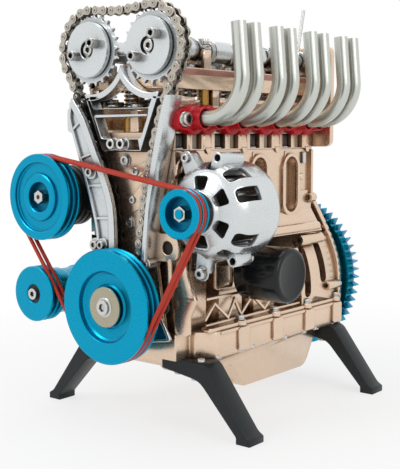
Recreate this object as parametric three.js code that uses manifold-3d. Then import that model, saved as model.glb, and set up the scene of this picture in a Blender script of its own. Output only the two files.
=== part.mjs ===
// A bench-top model of an inline four-cylinder, twin-cam, four stroke engine that stands on four legs.
// Millimetres, +Z up. X runs to the exhaust side, Y from the pulleys at the front to the flywheel.
// The origin is on the floor, under the middle of the engine's outer box.
import * as THREE from "three";
import { mergeVertices } from "three/addons/utils/BufferGeometryUtils.js";
import Module from "manifold-3d";

const wasm = await Module();
wasm.setup();

// Driving dimensions
const clearance = 0.3; // gap between two separate pieces that seat or run together
const overrun = 1; // how far a cut runs past the face that it opens
const weldDistance = 1e-4;
const cylinders = 4;
const cylinderPitch = 27.5;
const firstCylinder = 31; // behind the pulley's face
const bore = 22;
const crankThrow = 6; // half the stroke
const rodLength = 54.4;
const crankHeight = 57; // above the floor
const camRise = 114; // above the crank
const deckRise = 69; // top of the block above the crank
const splitDrop = 12; // block to bedplate joint, below the crank
const blockHalf = 26; // half the width of the upper block
const blockFront = 18.3;
const blockRear = 128.5;
const camHalf = 18.3; // half the spacing of the camshafts
const chainPitch = 5;
const camTeeth = 22;
const legReach = 62.8; // from the middle to the end of a foot

const cylinderList = Array.from({ length: cylinders }, (_, i) => firstCylinder + i * cylinderPitch);
const throwSigns = [1, -1, -1, 1]; // the outer pair is up while the inner pair is down
const camHeight = crankHeight + camRise;
const deckHeight = crankHeight + deckRise;
const splitHeight = crankHeight - splitDrop;
const pitchRadius = (teeth) => chainPitch / (2 * Math.sin(Math.PI / teeth));
const camPitchRadius = pitchRadius(camTeeth);
const crankTeeth = camTeeth / 2;
const crankPitchRadius = pitchRadius(crankTeeth);

// Sizes of each piece
const belt = { radius: 0.9, first: 2.7, spacing: 3.1, sink: 0.8 };
const pulley = { width: 8.4, grooveDepth: 2, grooveHalf: 1.32, grooveFloor: 1.24 };
const crankWheel = {
  radius: 25.8, dish: 16, dishDepth: 1.6, nose: 3.3, bolt: 3.8, washer: 9.1, washerDepth: 1.2,
};
const alternator = {
  x: 42.8, belowDeck: 25.5, pulley: 10.45, radius: 21.5, front: 12.6, shoulder: 21.5, rear: 44.5, wall: 2,
  hub: 9, shaft: 2.4, rotor: 16.6, well: 7, wellDepth: 4.6, nut: 3, windowCount: 8,
  // across, up and back from the front of the axis
  lugs: [[-12.1, 22.6, 19], [8.4, 23.4, 24], [-2.6, -27, 26], [10.4, -21.4, 28]],
  lug: 3.1, lugLength: 6, lugHole: 1.5,
};
const alternatorHeight = deckHeight - alternator.belowDeck;
const compressor = {
  x: -42.4, height: 104.2, pulley: 20.1, body: 14.4, rear: 26, shaft: 2.4, well: 6.6, wellDepth: 2.4,
};
const pump = {
  x: -46.7, belowCompressor: 46, pulley: 13.1, body: 11, rear: 32, shaft: 2.4, arm: 7, well: 4.4, wellDepth: 1.2,
};
const pumpHeight = compressor.height - pump.belowCompressor;
// Where the chain leaves and meets its wheels, in degrees
const chainAngles = { slackEnd: 222, top: 90, tightEnd: -36, crankStart: 0, crankEnd: -200 };
const chain = { plateHalf: 2.1, plate: 1.3, inner: 2.8, roller: 1.6, middle: 13, sag: 1.3 };
const sprocket = { width: 2, toothDepth: 1.5, toothShare: 0.34 };
const camDisc = {
  radius: 12.45, front: 9, recess: 4.1, recessDepth: 2.4, screwRadius: 2.2, screwReach: 4.4,
  screwPlace: 6.8,
};
const cam = {
  shaft: 3.5, drum: 5, drumHalf: 6.4, base: 4.4, lift: 1.7, lobe: 3.2, nose: 2.4, portStep: 5.1,
};
const crank = {
  journal: 4, pin: 3.5, web: 4, pinHalf: 4.3, hub: 7, pinWeb: 5.6, counter: 12.3, tail: 5.5, dowel: 1.2,
};
const rod = {
  bigEnd: 6.2, width: 8, shank: 4.4, shankDepth: 3, smallEnd: 2.8, smallWidth: 5, pinHalf: 3.6,
};
const piston = { height: 15, crown: 3, wall: 1.4, pinDrop: 8, top: 0.6 };
const block = {
  skirt: 33, skirtTop: 84, shoulder: 97, bayHalf: 8.9, bay: 26, bayTop: 15, saddle: 17, barrel: 13.2,
  window: 6.4, windowRim: 2.2, rim: 1.2, windowLow: 96, windowHigh: 124, windowSide: 4.2,
};
const bell = {
  radius: 38, rear: 144, wall: 5, rearWall: 5, slot: 2.6, slotLow: 60, slotHigh: 80, slots: [108, 121],
  flare: 104,
};
const bedplate = { half: 36, front: 28, thick: 12, chamfer: 7, opening: 21, boss: 3.4, bossStand: 1 };
const pan = {
  flange: 1.6, front: 30, shallowDrop: 7.6, step: 58, deepStart: 69, deepEnd: 119, deepDrop: 22, legGap: 0.6, half: 30,
  deepHalf: 25, wall: 1.6, frontHalf: 12,
};
const leg = {
  width: 11, tabIn: 13.4, tab: 5.5, knee: 38.5, bend: 35, bendDrop: 8.5, foot: 7.4, sole: 3, toe: 2.8, ankle: 4.6,
  front: 23.4, rearInset: 2,
};
const legRear = bell.rear - leg.rearInset - leg.width;
const panEnd = legRear - pan.legGap;
const head = {
  height: 20, pocketLow: 1.5, pocketHigh: 7.5, pocket: 6, port: 2.4, portRise: 14, portDepth: 5, postDeep: 6,
  wellHalf: 17, wellRise: 8, wellEnd: 5, guide: 2.2, guideHeight: 6,
};
const carrier = { rise: 7, height: 9.5, rail: 3.6, bar: 5, end: 2.8, barHeight: 5, saddle: 4.6, wall: 1.5 };
const camCap = {
  crest: 5.2, ear: 1.8, screw: 2, screwHead: 3, screwInset: 2.2, yokeTop: 2.5, yokeLow: 5.5, chamfer: 1.5,
};
const flange = {
  depth: 4.5, lobe: 6.2, bar: 4.4, start: 16.2, chamfer: 2.4, screw: 2.6, screwHead: 1.8, screwPlace: 18.9,
  collar: 4.9, socket: 4.1, reach: 6.6,
};
const pipe = { radius: 3.25, bore: 2.5, bend: 17.8, straight: 7.7, top: 179.8, lean: 2, mouth: 6 };
const intake = { depth: 4, neck: 3.6, neckLength: 6, plenum: 8, plenumHalf: 6, plenumOver: 4.4 };
const rearPlate = { half: 37, low: 127, high: 178, thick: 3.2, corner: 7 };
const bracket = {
  front: 11.6, arch: 19.8, half: 21.6, foot: 11.8, rim: 2.4, barRise: 17, barHalf: 1.4, bossRise: 5.6,
  screw: 2.4, screwStep: 3, screwRise: 3, screwReach: 3.6,
};
const guide = { front: 9, gap: 3.1, thick: 2.2 };
const arm = {
  front: 7.5, flange: 2.3, cover: 3.5, depth: 9.4, shoe: 5, rib: 1.1, recess: 1.3, rim: 1.3, gap: 2.6,
  bolt: 2.3, boltHead: 1.6,
};
const backplate = {
  thick: 2, half: 13.4, low: 47, lowHalf: 22, ear: 23.4, earHeight: 83.7, earRadius: 6.2, earHole: 3,
};
const wheel = {
  tip: 41.9, root: 38.6, teeth: 56, front: 147, width: 6, hub: 12, hubWidth: 4, web: 2.6, rimInner: 33,
};
const filter = { y: 58.6, height: 70, radius: 12.6, end: 60.6, neck: 6, neckLength: 3, edge: 1.4 };
const dipstick = { radius: 0.9, x: 24.9, y: 112.8, rise: 33.4, lean: 8.2 };
const roundSides = 14;
const smallSides = 8;
const fineSides = 26;
const pulleySides = 20;

// Colours with roughness and metalness
const finishes = {
  gold: [0xd8bfa6, 0.42, 0.55],
  silver: [0xdde2e4, 0.38, 0.6],
  steel: [0xc4c8ca, 0.3, 0.9],
  blue: [0x0896c4, 0.34, 0.45],
  red: [0xc01224, 0.45, 0.2],
  orange: [0xc62c14, 0.6, 0],
  black: [0x1e2224, 0.55, 0.1],
};

// Solids
const V3 = THREE.Vector3;

function solid(geometry) {
  const bare = geometry.clone();
  bare.deleteAttribute("normal");
  bare.deleteAttribute("uv");
  const merged = mergeVertices(bare, weldDistance);
  const triVerts = new Uint32Array(merged.index.array);
  const make = () =>
    new wasm.Manifold(new wasm.Mesh({ numProp: 3, vertProperties: merged.attributes.position.array, triVerts }));
  const made = make();
  if (made.volume() > 0) return made;
  for (let i = 0; i < triVerts.length; i += 3) {
    [triVerts[i + 1], triVerts[i + 2]] = [triVerts[i + 2], triVerts[i + 1]];
  }
  return make();
}

function join(...solids) {
  return solids.flat().reduce((all, next) => all.add(next));
}

function cut(from, ...solids) {
  return solids.flat().reduce((left, next) => left.subtract(next), from);
}

function cuboid(x0, x1, y0, y1, z0, z1) {
  const box = new THREE.BoxGeometry(x1 - x0, y1 - y0, z1 - z0);
  return solid(box.translate((x0 + x1) / 2, (y0 + y1) / 2, (z0 + z1) / 2));
}

// Where a shape's own directions go when its thickness lies along X, Y or Z.
const frames = {
  x: new THREE.Matrix4().makeBasis(new V3(0, 1, 0), new V3(0, 0, 1), new V3(1, 0, 0)),
  y: new THREE.Matrix4().makeBasis(new V3(1, 0, 0), new V3(0, 0, 1), new V3(0, -1, 0)),
  z: new THREE.Matrix4(),
};

// A flat outline, in the two other coordinates, made thick along an axis.
function sheet(axis, outline, from, to, holes = []) {
  const shape = new THREE.Shape(outline.map(([u, v]) => new THREE.Vector2(u, v)));
  shape.holes = holes.map((hole) => new THREE.Path(hole.map(([u, v]) => new THREE.Vector2(u, v))));
  const geometry = new THREE.ExtrudeGeometry(shape, { depth: to - from, bevelEnabled: false });
  geometry.applyMatrix4(frames[axis]);
  return solid(geometry.translate(axis === "x" ? from : 0, axis === "y" ? to : 0, axis === "z" ? from : 0));
}

// A round bar along an axis, with its centre in the two other coordinates.
function bar(axis, [u, v], from, to, radius, sides = roundSides) {
  const geometry = new THREE.CylinderGeometry(radius, radius, to - from, sides);
  const middle = (from + to) / 2;
  if (axis === "x") return solid(geometry.rotateZ(-Math.PI / 2).translate(middle, u, v));
  if (axis === "y") return solid(geometry.translate(u, middle, v));
  return solid(geometry.rotateX(Math.PI / 2).translate(u, v, middle));
}

// A piece turned about a line along Y through [x, z]; the profile holds [radius, y] points.
function turned([x, z], profile, sides = roundSides) {
  const points = profile.map(([r, y]) => new THREE.Vector2(r, y));
  return solid(new THREE.LatheGeometry(points, sides).translate(x, 0, z));
}

const onCircle = ([u, v], radius, angle) => [u + radius * Math.cos(angle), v + radius * Math.sin(angle)];

function arc(centre, radius, from, to, steps) {
  return Array.from(
    { length: steps + 1 }, (_, i) => onCircle(centre, radius, from + ((to - from) * i) / steps),
  );
}

const circle = (centre, radius, sides) => arc(centre, radius, 0, 2 * Math.PI, sides).slice(0, -1);

// A slot with round ends, upright in the outline's plane.
function slotOutline([u, v0], v1, half, steps = 6) {
  return [
    ...arc([u, v1 - half], half, 0, Math.PI, steps),
    ...arc([u, v0 + half], half, Math.PI, 2 * Math.PI, steps),
  ];
}

function roundedOutline(u0, u1, v0, v1, radius, steps = 4) {
  const corner = (u, v, start) => arc([u, v], radius, start, start + Math.PI / 2, steps);
  return [
    ...corner(u1 - radius, v1 - radius, 0),
    ...corner(u0 + radius, v1 - radius, Math.PI / 2),
    ...corner(u0 + radius, v0 + radius, Math.PI),
    ...corner(u1 - radius, v0 + radius, 1.5 * Math.PI),
  ];
}

const mirrored = (outline) => outline.map(([u, v]) => [-u, v]).reverse();

// Loops of the chain and the belts
function offsetLoop(points, distance) {
  return points.map((p, i) => {
    const before = points[(i + points.length - 1) % points.length];
    const after = points[(i + 1) % points.length];
    const [du, dv] = [after[0] - before[0], after[1] - before[1]];
    const size = Math.hypot(du, dv);
    return [p[0] - (dv / size) * distance, p[1] + (du / size) * distance];
  });
}

const band = (points, half, from, to) =>
  sheet("y", offsetLoop(points, half).reverse(), from, to, [offsetLoop(points, -half)]);

// The belt runs clockwise, seen from the front. A disc's side is 1 inside the loop and -1 outside it.
function tangent(a, b) {
  const [du, dv] = [b.x - a.x, b.height - a.height];
  const length = Math.hypot(du, dv);
  const along = (a.side * a.radius - b.side * b.radius) / length;
  const across = Math.sqrt(1 - along * along);
  const normal = [(du * along - dv * across) / length, (dv * along + du * across) / length];
  return [a, b].map((disc) => Math.atan2(disc.side * normal[1], disc.side * normal[0]));
}

function beltLoop(discs, steps) {
  const runs = discs.map((disc, i) => tangent(disc, discs[(i + 1) % discs.length]));
  return discs.flatMap((disc, i) => {
    const arrive = runs[(i + discs.length - 1) % discs.length][1];
    let leave = runs[i][0];
    const turn = -disc.side;
    while ((leave - arrive) * turn < 0) leave += turn * 2 * Math.PI;
    return arc([disc.x, disc.height], disc.radius, arrive, leave, steps);
  });
}

// The chain's loop, through points on the sprockets and along the two guides.
const camCentres = [[-camHalf, camHeight], [camHalf, camHeight]];
const crankCentre = [0, crankHeight];
// Places of each strand beside its guide: shares of the cam's half spacing and of its rise above the crank.
const slackRunShares = [
  [-1.475, 0.825], [-1.23, 0.746], [-1.01, 0.667], [-0.765, 0.588], [-0.437, 0.465], [-0.251, 0.333], [-0.219, 0.254], [-0.284, 0.158],
];
const tightRunShares = [
  [1.481, 0.816], [1.257, 0.719], [1.066, 0.618], [0.918, 0.526], [0.749, 0.395], [0.667, 0.307], [0.596, 0.219], [0.525, 0.114],
];
const runPoints = (shares) => shares.map(([u, v]) => [u * camHalf, crankHeight + v * camRise]);
const slackRun = runPoints(slackRunShares);
const tightRun = runPoints(tightRunShares);
const degrees = Math.PI / 180;

function chainLoop() {
  const knots = [
    ...arc(camCentres[0], camPitchRadius, chainAngles.slackEnd * degrees, chainAngles.top * degrees, 7),
    [0, camHeight + camPitchRadius - chain.sag],
    ...arc(camCentres[1], camPitchRadius, chainAngles.top * degrees, chainAngles.tightEnd * degrees, 7),
    ...tightRun,
    ...arc(
      crankCentre, crankPitchRadius, chainAngles.crankStart * degrees, chainAngles.crankEnd * degrees, 8,
    ),
    ...slackRun.toReversed(),
  ];
  const curve = new THREE.CatmullRomCurve3(knots.map(([u, v]) => new V3(u, v, 0)), true, "centripetal");
  const links = 2 * Math.round(curve.getLength() / chainPitch / 2);
  return curve.getSpacedPoints(links).slice(0, -1).map((p) => [p.x, p.y]);
}

const chainPins = chainLoop();

// Piece makers
const pieces = [];

function piece(name, finish, shape) {
  const mesh = shape.getMesh();
  const geometry = new THREE.BufferGeometry();
  geometry.setAttribute("position", new THREE.BufferAttribute(mesh.vertProperties, 3));
  geometry.setIndex(new THREE.BufferAttribute(mesh.triVerts, 1));
  geometry.computeVertexNormals();
  const [color, roughness, metalness] = finishes[finish];
  const made = new THREE.Mesh(geometry, new THREE.MeshStandardMaterial({ color, roughness, metalness }));
  made.name = name;
  pieces.push(made);
}

// Crankcase and cylinders
const bearingList = Array.from(
  { length: cylinders + 1 }, (_, i) => firstCylinder + (i - 0.5) * cylinderPitch,
);
const bearingSpans = bearingList.map((y, i) => [
  i === 0 ? blockFront : y - cylinderPitch / 2 + block.bayHalf,
  i === cylinders ? blockRear + bell.rearWall : y + cylinderPitch / 2 - block.bayHalf,
]);

function windowCut(y, side) {
  const outline = slotOutline([y, block.windowLow], block.windowHigh, block.window / 2);
  const inner = side > 0 ? [blockHalf / 2, blockHalf + block.rim + overrun] : [
    -blockHalf - block.rim - overrun, -blockHalf / 2,
  ];
  return cut(
    sheet("x", outline, ...inner),
    bar("z", [0, y + block.windowSide], block.windowLow - overrun, deckHeight, block.barrel),
  );
}

function windowFrame(y, side) {
  const half = block.window / 2 + block.windowRim;
  const outline = slotOutline(
    [y, block.windowLow - block.windowRim], block.windowHigh + block.windowRim / 2, half,
  );
  const [inner, outer] = [blockHalf - overrun, blockHalf + block.rim];
  return sheet("x", outline, ...(side > 0 ? [inner, outer] : [-outer, -inner]));
}

function engineBlock() {
  const upper = cuboid(-blockHalf, blockHalf, blockFront, blockRear, splitHeight, deckHeight);
  const half = [[block.skirt, splitHeight], [block.skirt, block.skirtTop], [blockHalf, block.shoulder]];
  const skirt = sheet("y", [...half, ...mirrored(half)], bedplate.front, blockRear);
  const arch = [
    ...arc(crankCentre, bell.radius, 0, Math.PI, 18), [-bell.radius, splitHeight],
    [bell.radius, splitHeight],
  ];
  const housing = sheet("y", arch, blockRear - bell.wall, bell.rear);
  const flareSide = [
    [block.skirt - overrun, bell.flare], [bell.radius, blockRear], [block.skirt - overrun, blockRear],
  ];
  const flares = [flareSide, mirrored(flareSide)].map((side) => sheet("z", side, splitHeight, block.skirtTop));
  const sides = [-1, 1];
  const windows = cylinderList.map((y) => y - block.windowSide);
  const frames = sides.flatMap((side) => windows.map((y) => windowFrame(y, side)));
  const body = join(upper, skirt, housing, flares, frames);
  const inner = bell.radius - bell.wall;
  const hollow = [
    ...arc(crankCentre, inner, 0, Math.PI, 18), [-inner, splitHeight - overrun],
    [inner, splitHeight - overrun],
  ];
  const bays = cylinderList.map((y) =>
    cuboid(
      -block.bay, block.bay, y - block.bayHalf, y + block.bayHalf, splitHeight - overrun,
      crankHeight + block.bayTop,
    ),
  );
  const saddleGap = cuboid(
    -block.saddle - clearance, block.saddle + clearance, blockFront - overrun, blockRear + bell.rearWall + overrun,
    splitHeight - overrun, crankHeight + clearance,
  );
  const bores = cylinderList.map((y) => bar("z", [0, y], crankHeight, deckHeight + overrun, bore / 2));
  const slots = sides.flatMap((side) =>
    bell.slots.map((y) => {
      const outline = slotOutline([y, bell.slotLow], bell.slotHigh, bell.slot);
      const [from, to] = [block.bay - overrun, bell.radius + overrun];
      return sheet("x", outline, ...(side > 0 ? [from, to] : [-to, -from]));
    }),
  );
  return cut(
    body,
    sheet("y", hollow, blockRear + bell.rearWall, bell.rear + overrun),
    bays,
    saddleGap,
    bores,
    slots,
    sides.flatMap((side) => windows.map((y) => windowCut(y, side))),
    bar(
      "y", crankCentre, blockFront - overrun, blockRear + bell.rearWall + overrun,
      crank.journal + clearance,
    ),
    bar(
      "y", [
        alternator.x, alternatorHeight,
      ], blockFront - overrun, alternator.rear + clearance, alternator.radius + clearance,
      fineSides,
    ),
  );
}

function bedplateShape() {
  const low = splitHeight - bedplate.thick;
  const half = [
    [bedplate.half, bell.rear], [bedplate.half, bedplate.front + bedplate.chamfer],
    [
      bedplate.half - bedplate.chamfer, bedplate.front,
    ], [blockHalf, bedplate.front], [blockHalf, blockFront],
  ];
  const plate = sheet("z", [...half, ...mirrored(half)], low, splitHeight);
  const saddles = bearingSpans.map(([from, to]) =>
    cuboid(-block.saddle, block.saddle, from + clearance, to - clearance, low, crankHeight),
  );
  const step = cylinderPitch;
  const bosses = [-1, 1].flatMap((side) =>
    bearingList.map((y) =>
      bar(
        "z",
        [side * (bedplate.half - bedplate.boss + bedplate.bossStand), y + step / 2], low, splitHeight,
        bedplate.boss, smallSides,
      ),
    ).slice(0, cylinders),
  );
  const openings = cylinderList.map((y) =>
    cuboid(
      -bedplate.opening, bedplate.opening, y - block.bayHalf, y + block.bayHalf, low - overrun,
      splitHeight + overrun,
    ),
  );
  const journal = bar(
    "y", crankCentre, blockFront - overrun, bell.rear + overrun, crank.journal + clearance,
  );
  return cut(join(plate, saddles, bosses), openings, journal);
}

function panShape(inset) {
  const top = splitHeight - bedplate.thick;
  const shallow = top - pan.shallowDrop;
  const bottom = top - pan.deepDrop;
  const side = [
    [pan.front + inset, top + (inset ? overrun : 0)], [pan.front + inset, shallow + 2 * inset],
    [pan.step + inset, shallow + inset], [pan.deepStart + inset, bottom + inset],
    [pan.deepEnd - inset, bottom + inset], [panEnd - inset, top - pan.flange - inset],
    [panEnd - inset, top + (inset ? overrun : 0)],
  ];
  const half = [
    [pan.deepHalf - inset, bottom], [pan.half - inset, top - pan.flange],
    [pan.half - inset, top + overrun],
  ];
  const deep = sheet("x", side, -pan.half, pan.half).intersect(
    sheet("y", [...half, ...mirrored(half)], pan.front - overrun, panEnd + overrun),
  );
  const tab = leg.front + leg.width + clearance + inset;
  const notches = [-1, 1].map((s) => {
    const [from, to] = [pan.frontHalf - inset, pan.half + overrun].map((x) => s * x);
    return cuboid(
      Math.min(from, to), Math.max(from, to), pan.front - overrun, tab, bottom, top + 2 * overrun,
    );
  });
  return cut(deep, notches);
}

function legShape(side, y) {
  const { width, tabIn, tab, knee, bend, bendDrop, foot, sole, toe, ankle } = leg;
  const top = splitHeight - bedplate.thick;
  const half = [
    [tabIn, top], [knee, top], [legReach - toe, ankle], [legReach, sole], [legReach, 0], [legReach - foot, 0],
    [legReach - foot, sole], [bend, top - bendDrop], [tabIn, top - tab],
  ];
  return sheet("y", side > 0 ? half : mirrored(half), y, y + width);
}

// Cylinder head and valve gear
const headTop = deckHeight + head.height;
const portHeight = deckHeight + head.portRise;
const ports = cylinderList.flatMap((y) => [y - cam.portStep, y + cam.portStep]);
const carrierLow = headTop + carrier.rise;
const pedestals = [
  [blockFront, blockFront + carrier.end],
  ...bearingList.slice(1, cylinders).map((y) => [y - carrier.bar / 2, y + carrier.bar / 2]),
  [blockRear - carrier.end, blockRear],
];

function headShape() {
  const body = cuboid(-blockHalf, blockHalf, blockFront, blockRear, deckHeight, headTop);
  const posts = pedestals.flatMap(([start, end]) =>
    [-1, 1].map((side) => {
      const [from, to] = [side * blockHalf, side * (blockHalf - head.postDeep)].sort((a, b) => a - b);
      return cuboid(from, to, start, end, headTop - overrun, carrierLow);
    }),
  );
  const [low, high] = [deckHeight + head.pocketLow, deckHeight + head.pocketHigh];
  // of the cylinder pitch, from the cylinder's middle
  const pocketShares = [[-0.44, -0.165], [-0.055, 0.285]];
  const pockets = cylinderList.flatMap((y) =>
    pocketShares.flatMap((share) => {
      const [from, to] = share.map((s) => y + s * cylinderPitch);
      return [
        cuboid(blockHalf - head.pocket, blockHalf + overrun, from, to, low, high),
        cuboid(-blockHalf - overrun, head.pocket - blockHalf, from, to, low, high),
      ];
    }),
  );
  const portHoles = ports.flatMap((y) => [
    bar("x", [y, portHeight], blockHalf - head.portDepth, blockHalf + overrun, head.port, smallSides),
    bar("x", [y, portHeight], -blockHalf - overrun, head.portDepth - blockHalf, head.port, smallSides),
  ]);
  const well = cuboid(
    -head.wellHalf, head.wellHalf, blockFront - overrun, blockRear - head.wellEnd, deckHeight + head.wellRise, headTop + overrun,
  );
  const guides = ports.flatMap((y) =>
    [-1, 1].map((side) => {
      const floor = deckHeight + head.wellRise;
      return bar(
        "z", [(side * head.wellHalf) / 2, y], floor - overrun, floor + head.guideHeight, head.guide,
        smallSides,
      );
    }),
  );
  return join(cut(join(body, posts), pockets, portHoles, well), guides);
}

const capBase = camHeight + clearance;

function carrierShape() {
  const rails = [-1, 1].map((side) => {
    const [from, to] = [side * blockHalf, side * (blockHalf - carrier.rail)].sort((a, b) => a - b);
    return cuboid(from, to, blockFront, blockRear, carrierLow, carrierLow + carrier.height);
  });
  const bars = pedestals.map(([start, end]) =>
    cuboid(
      carrier.rail - blockHalf - overrun, blockHalf - carrier.rail + overrun, start, end,
      carrierLow, carrierLow + carrier.barHeight,
    ),
  );
  const saddles = pedestals.flatMap(([start, end]) =>
    [-1, 1].map((side) => {
      const [from, to] = [side * (camHalf - carrier.saddle), side * blockHalf].sort((a, b) => a - b);
      return cuboid(from, to, start, end, carrierLow + overrun, camHeight);
    }),
  );
  const journals = [-camHalf, camHalf].map((x) =>
    bar("y", [x, camHeight], blockFront - overrun, blockRear + overrun, cam.shaft + clearance),
  );
  return cut(join(rails, bars, saddles), journals);
}

// A yoke that holds both camshafts down: a crest over each, an ear outside it and a low bridge between.
function capShape([start, end]) {
  const { crest, ear, screw, screwHead, screwInset, yokeTop, yokeLow, chamfer } = camCap;
  const inside = camHalf - carrier.saddle - clearance;
  const top = camHeight + crest;
  const over = [
    [blockHalf, capBase], [blockHalf, capBase + ear], [camHalf + carrier.saddle, capBase + ear],
    [
      camHalf + carrier.saddle, top - chamfer,
    ], [camHalf + carrier.saddle - chamfer, top], [camHalf - carrier.saddle, top],
    [inside - chamfer, top - chamfer], [inside - 2 * chamfer, camHeight - yokeTop],
  ];
  const under = [
    [-inside, capBase], [-inside, camHeight - yokeLow], [inside, camHeight - yokeLow], [inside, capBase],
  ];
  const yoke = sheet("y", [...over, ...mirrored(over), ...under], start, end);
  const radius = Math.min(screw, (end - start) / 2);
  const screws = [-1, 1].map((side) =>
    bar(
      "z", [side * (blockHalf - screwInset), (start + end) / 2], capBase, capBase + ear + screwHead, radius,
      smallSides,
    ),
  );
  const journals = [-camHalf, camHalf].map((x) => bar("y", [x, camHeight], start - overrun, end + overrun, cam.shaft + clearance));
  return cut(join(yoke, screws), journals);
}

function camshaftShape(x, turn) {
  const centre = [x, camHeight];
  const shaft = bar(
    "y", centre, camDisc.front + camDisc.recessDepth + clearance, blockRear - clearance, cam.shaft,
  );
  const order = [0, 2, 3, 1]; // firing order: where each cylinder comes in the turn
  const drums = cylinderList.flatMap((y, i) => {
    const angle = turn + (order[i] * Math.PI) / 2;
    const lobes = [-1, 1].map((side) => {
      const middle = y + side * (cam.drumHalf + cam.lobe / 2);
      const tip = onCircle(centre, cam.base + cam.lift - cam.nose, angle);
      const [from, to] = [middle - cam.lobe / 2, middle + cam.lobe / 2];
      return join(
        bar("y", centre, from, to, cam.base, smallSides), bar("y", tip, from, to, cam.nose, smallSides),
      );
    });
    return [bar("y", centre, y - cam.drumHalf, y + cam.drumHalf, cam.drum), ...lobes];
  });
  return join(shaft, ...drums);
}

function toothed(centre, teeth, root, tip, from, to, phase, share = sprocket.toothShare) {
  const step = (2 * Math.PI) / teeth;
  const outline = Array.from({ length: teeth }, (_, i) => {
    const middle = phase + i * step;
    const corners = [[-0.5, root], [-share / 2, tip], [share / 2, tip]];
    return corners.map(([part, radius]) => onCircle(centre, radius, middle + part * step));
  }).flat();
  return sheet("y", outline, from, to);
}

function tooth(centre) {
  const near = chainPins.reduce((best, p) => (distance(p, centre) < distance(best, centre) ? p : best));
  return Math.atan2(near[1] - centre[1], near[0] - centre[0]);
}

const distance = ([au, av], [bu, bv]) => Math.hypot(au - bu, av - bv);

function sprocketWheel(centre, teeth) {
  const tip = pitchRadius(teeth) - chain.roller - clearance;
  const phase = tooth(centre) + Math.PI / teeth;
  const [from, to] = [chain.middle - sprocket.width / 2, chain.middle + sprocket.width / 2];
  return toothed(centre, teeth, tip - sprocket.toothDepth, tip, from, to, phase);
}

function camSprocket(centre, screwAngle) {
  const back = chain.middle;
  const disc = bar("y", centre, camDisc.front, back, camDisc.radius, fineSides);
  const screws = [0, Math.PI].map((half) => {
    const place = onCircle(centre, camDisc.screwPlace, screwAngle + half);
    const head = bar("y", place, camDisc.front - camDisc.screwReach, back, camDisc.screwRadius, smallSides);
    return cut(
      head,
      bar(
        "y", place, camDisc.front - camDisc.screwReach - overrun, camDisc.front - camDisc.screwReach / 2,
        camDisc.screwRadius / 2, 6,
      ),
    );
  });
  return cut(
    join(disc, sprocketWheel(centre, camTeeth), screws),
    cut(
      bar("y", centre, camDisc.front - overrun, camDisc.front + camDisc.recessDepth, camDisc.recess),
      screws,
    ),
    bar("y", centre, camDisc.front, chain.middle + sprocket.width, cam.shaft + clearance),
  );
}

// Crank gear
const pinHeight = (i) => crankHeight + throwSigns[i] * crankThrow;

function crankWeb(i, from, to) {
  const counter = bar("y", crankCentre, from, to, crank.counter).intersect(
    throwSigns[i] > 0
      ? cuboid(
        -crank.counter, crank.counter, from, to, crankHeight - 2 * crank.counter,
        crankHeight - crank.journal / 2,
      )
      : cuboid(
        -crank.counter, crank.counter, from, to, crankHeight + crank.journal / 2,
        crankHeight + 2 * crank.counter,
      ),
  );
  const hub = bar("y", crankCentre, from, to, crank.hub, smallSides);
  return join(counter, hub, bar("y", [0, pinHeight(i)], from, to, crank.pinWeb, smallSides));
}

const crankTail = wheel.front + wheel.width + wheel.hubWidth / 2;
const dowelStart = bell.rear - overrun;

function crankshaftShape() {
  const outer = crank.pinHalf + crank.web;
  const nose = bar(
    "y", crankCentre, crankWheel.dishDepth + crankWheel.washerDepth, blockFront, crankWheel.nose,
  );
  const ends = [blockFront - overrun, ...cylinderList.flatMap((y) => [y - outer, y + outer]), bell.rear];
  const journals = Array.from({ length: cylinders + 1 }, (_, i) =>
    bar(
      "y", crankCentre, ends[2 * i] - (i && overrun), ends[2 * i + 1] + (i < cylinders && overrun),
      crank.journal, smallSides,
    ),
  );
  const throws = cylinderList.flatMap((y, i) => [
    crankWeb(i, y - outer, y - crank.pinHalf),
    crankWeb(i, y + crank.pinHalf, y + outer),
    bar("y", [0, pinHeight(i)], y - outer + overrun, y + outer - overrun, crank.pin, smallSides),
  ]);
  const tail = bar(
    "y", crankCentre, blockRear + bell.rearWall + clearance, crankTail, crank.tail, smallSides,
  );
  const dowelHoles = [-1, 1].map((side) =>
    bar(
      "y", [0, crankHeight + (side * crankThrow) / 2], dowelStart, crankTail + overrun,
      crank.dowel + clearance, smallSides,
    ),
  );
  return cut(join(nose, journals, throws, tail), dowelHoles);
}

function rodShape(i) {
  const y = cylinderList[i];
  const big = [0, pinHeight(i)];
  const small = [0, pinHeight(i) + rodLength];
  const half = rod.width / 2;
  const shank = cuboid(
    -rod.shank / 2, rod.shank / 2, y - rod.shankDepth / 2, y + rod.shankDepth / 2, big[1], small[1],
  );
  const body = join(bar("y", big, y - half, y + half, rod.bigEnd), shank);
  const end = bar("y", small, y - rod.smallWidth / 2, y + rod.smallWidth / 2, rod.smallEnd, smallSides);
  const pin = bar("y", small, y - rod.pinHalf, y + rod.pinHalf, rod.smallEnd / 2, smallSides);
  return join(cut(body, bar("y", big, y - rod.width, y + rod.width, crank.pin + clearance)), end, pin);
}

function pistonShape(i) {
  const y = cylinderList[i];
  const crown = pinHeight(i) + rodLength + piston.pinDrop;
  const radius = bore / 2 - clearance;
  const skirt = bar("z", [0, y], crown - piston.height, crown, radius);
  return cut(
    skirt,
    bar("z", [0, y], crown - piston.height - overrun, crown - piston.crown, radius - piston.wall),
  );
}

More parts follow.
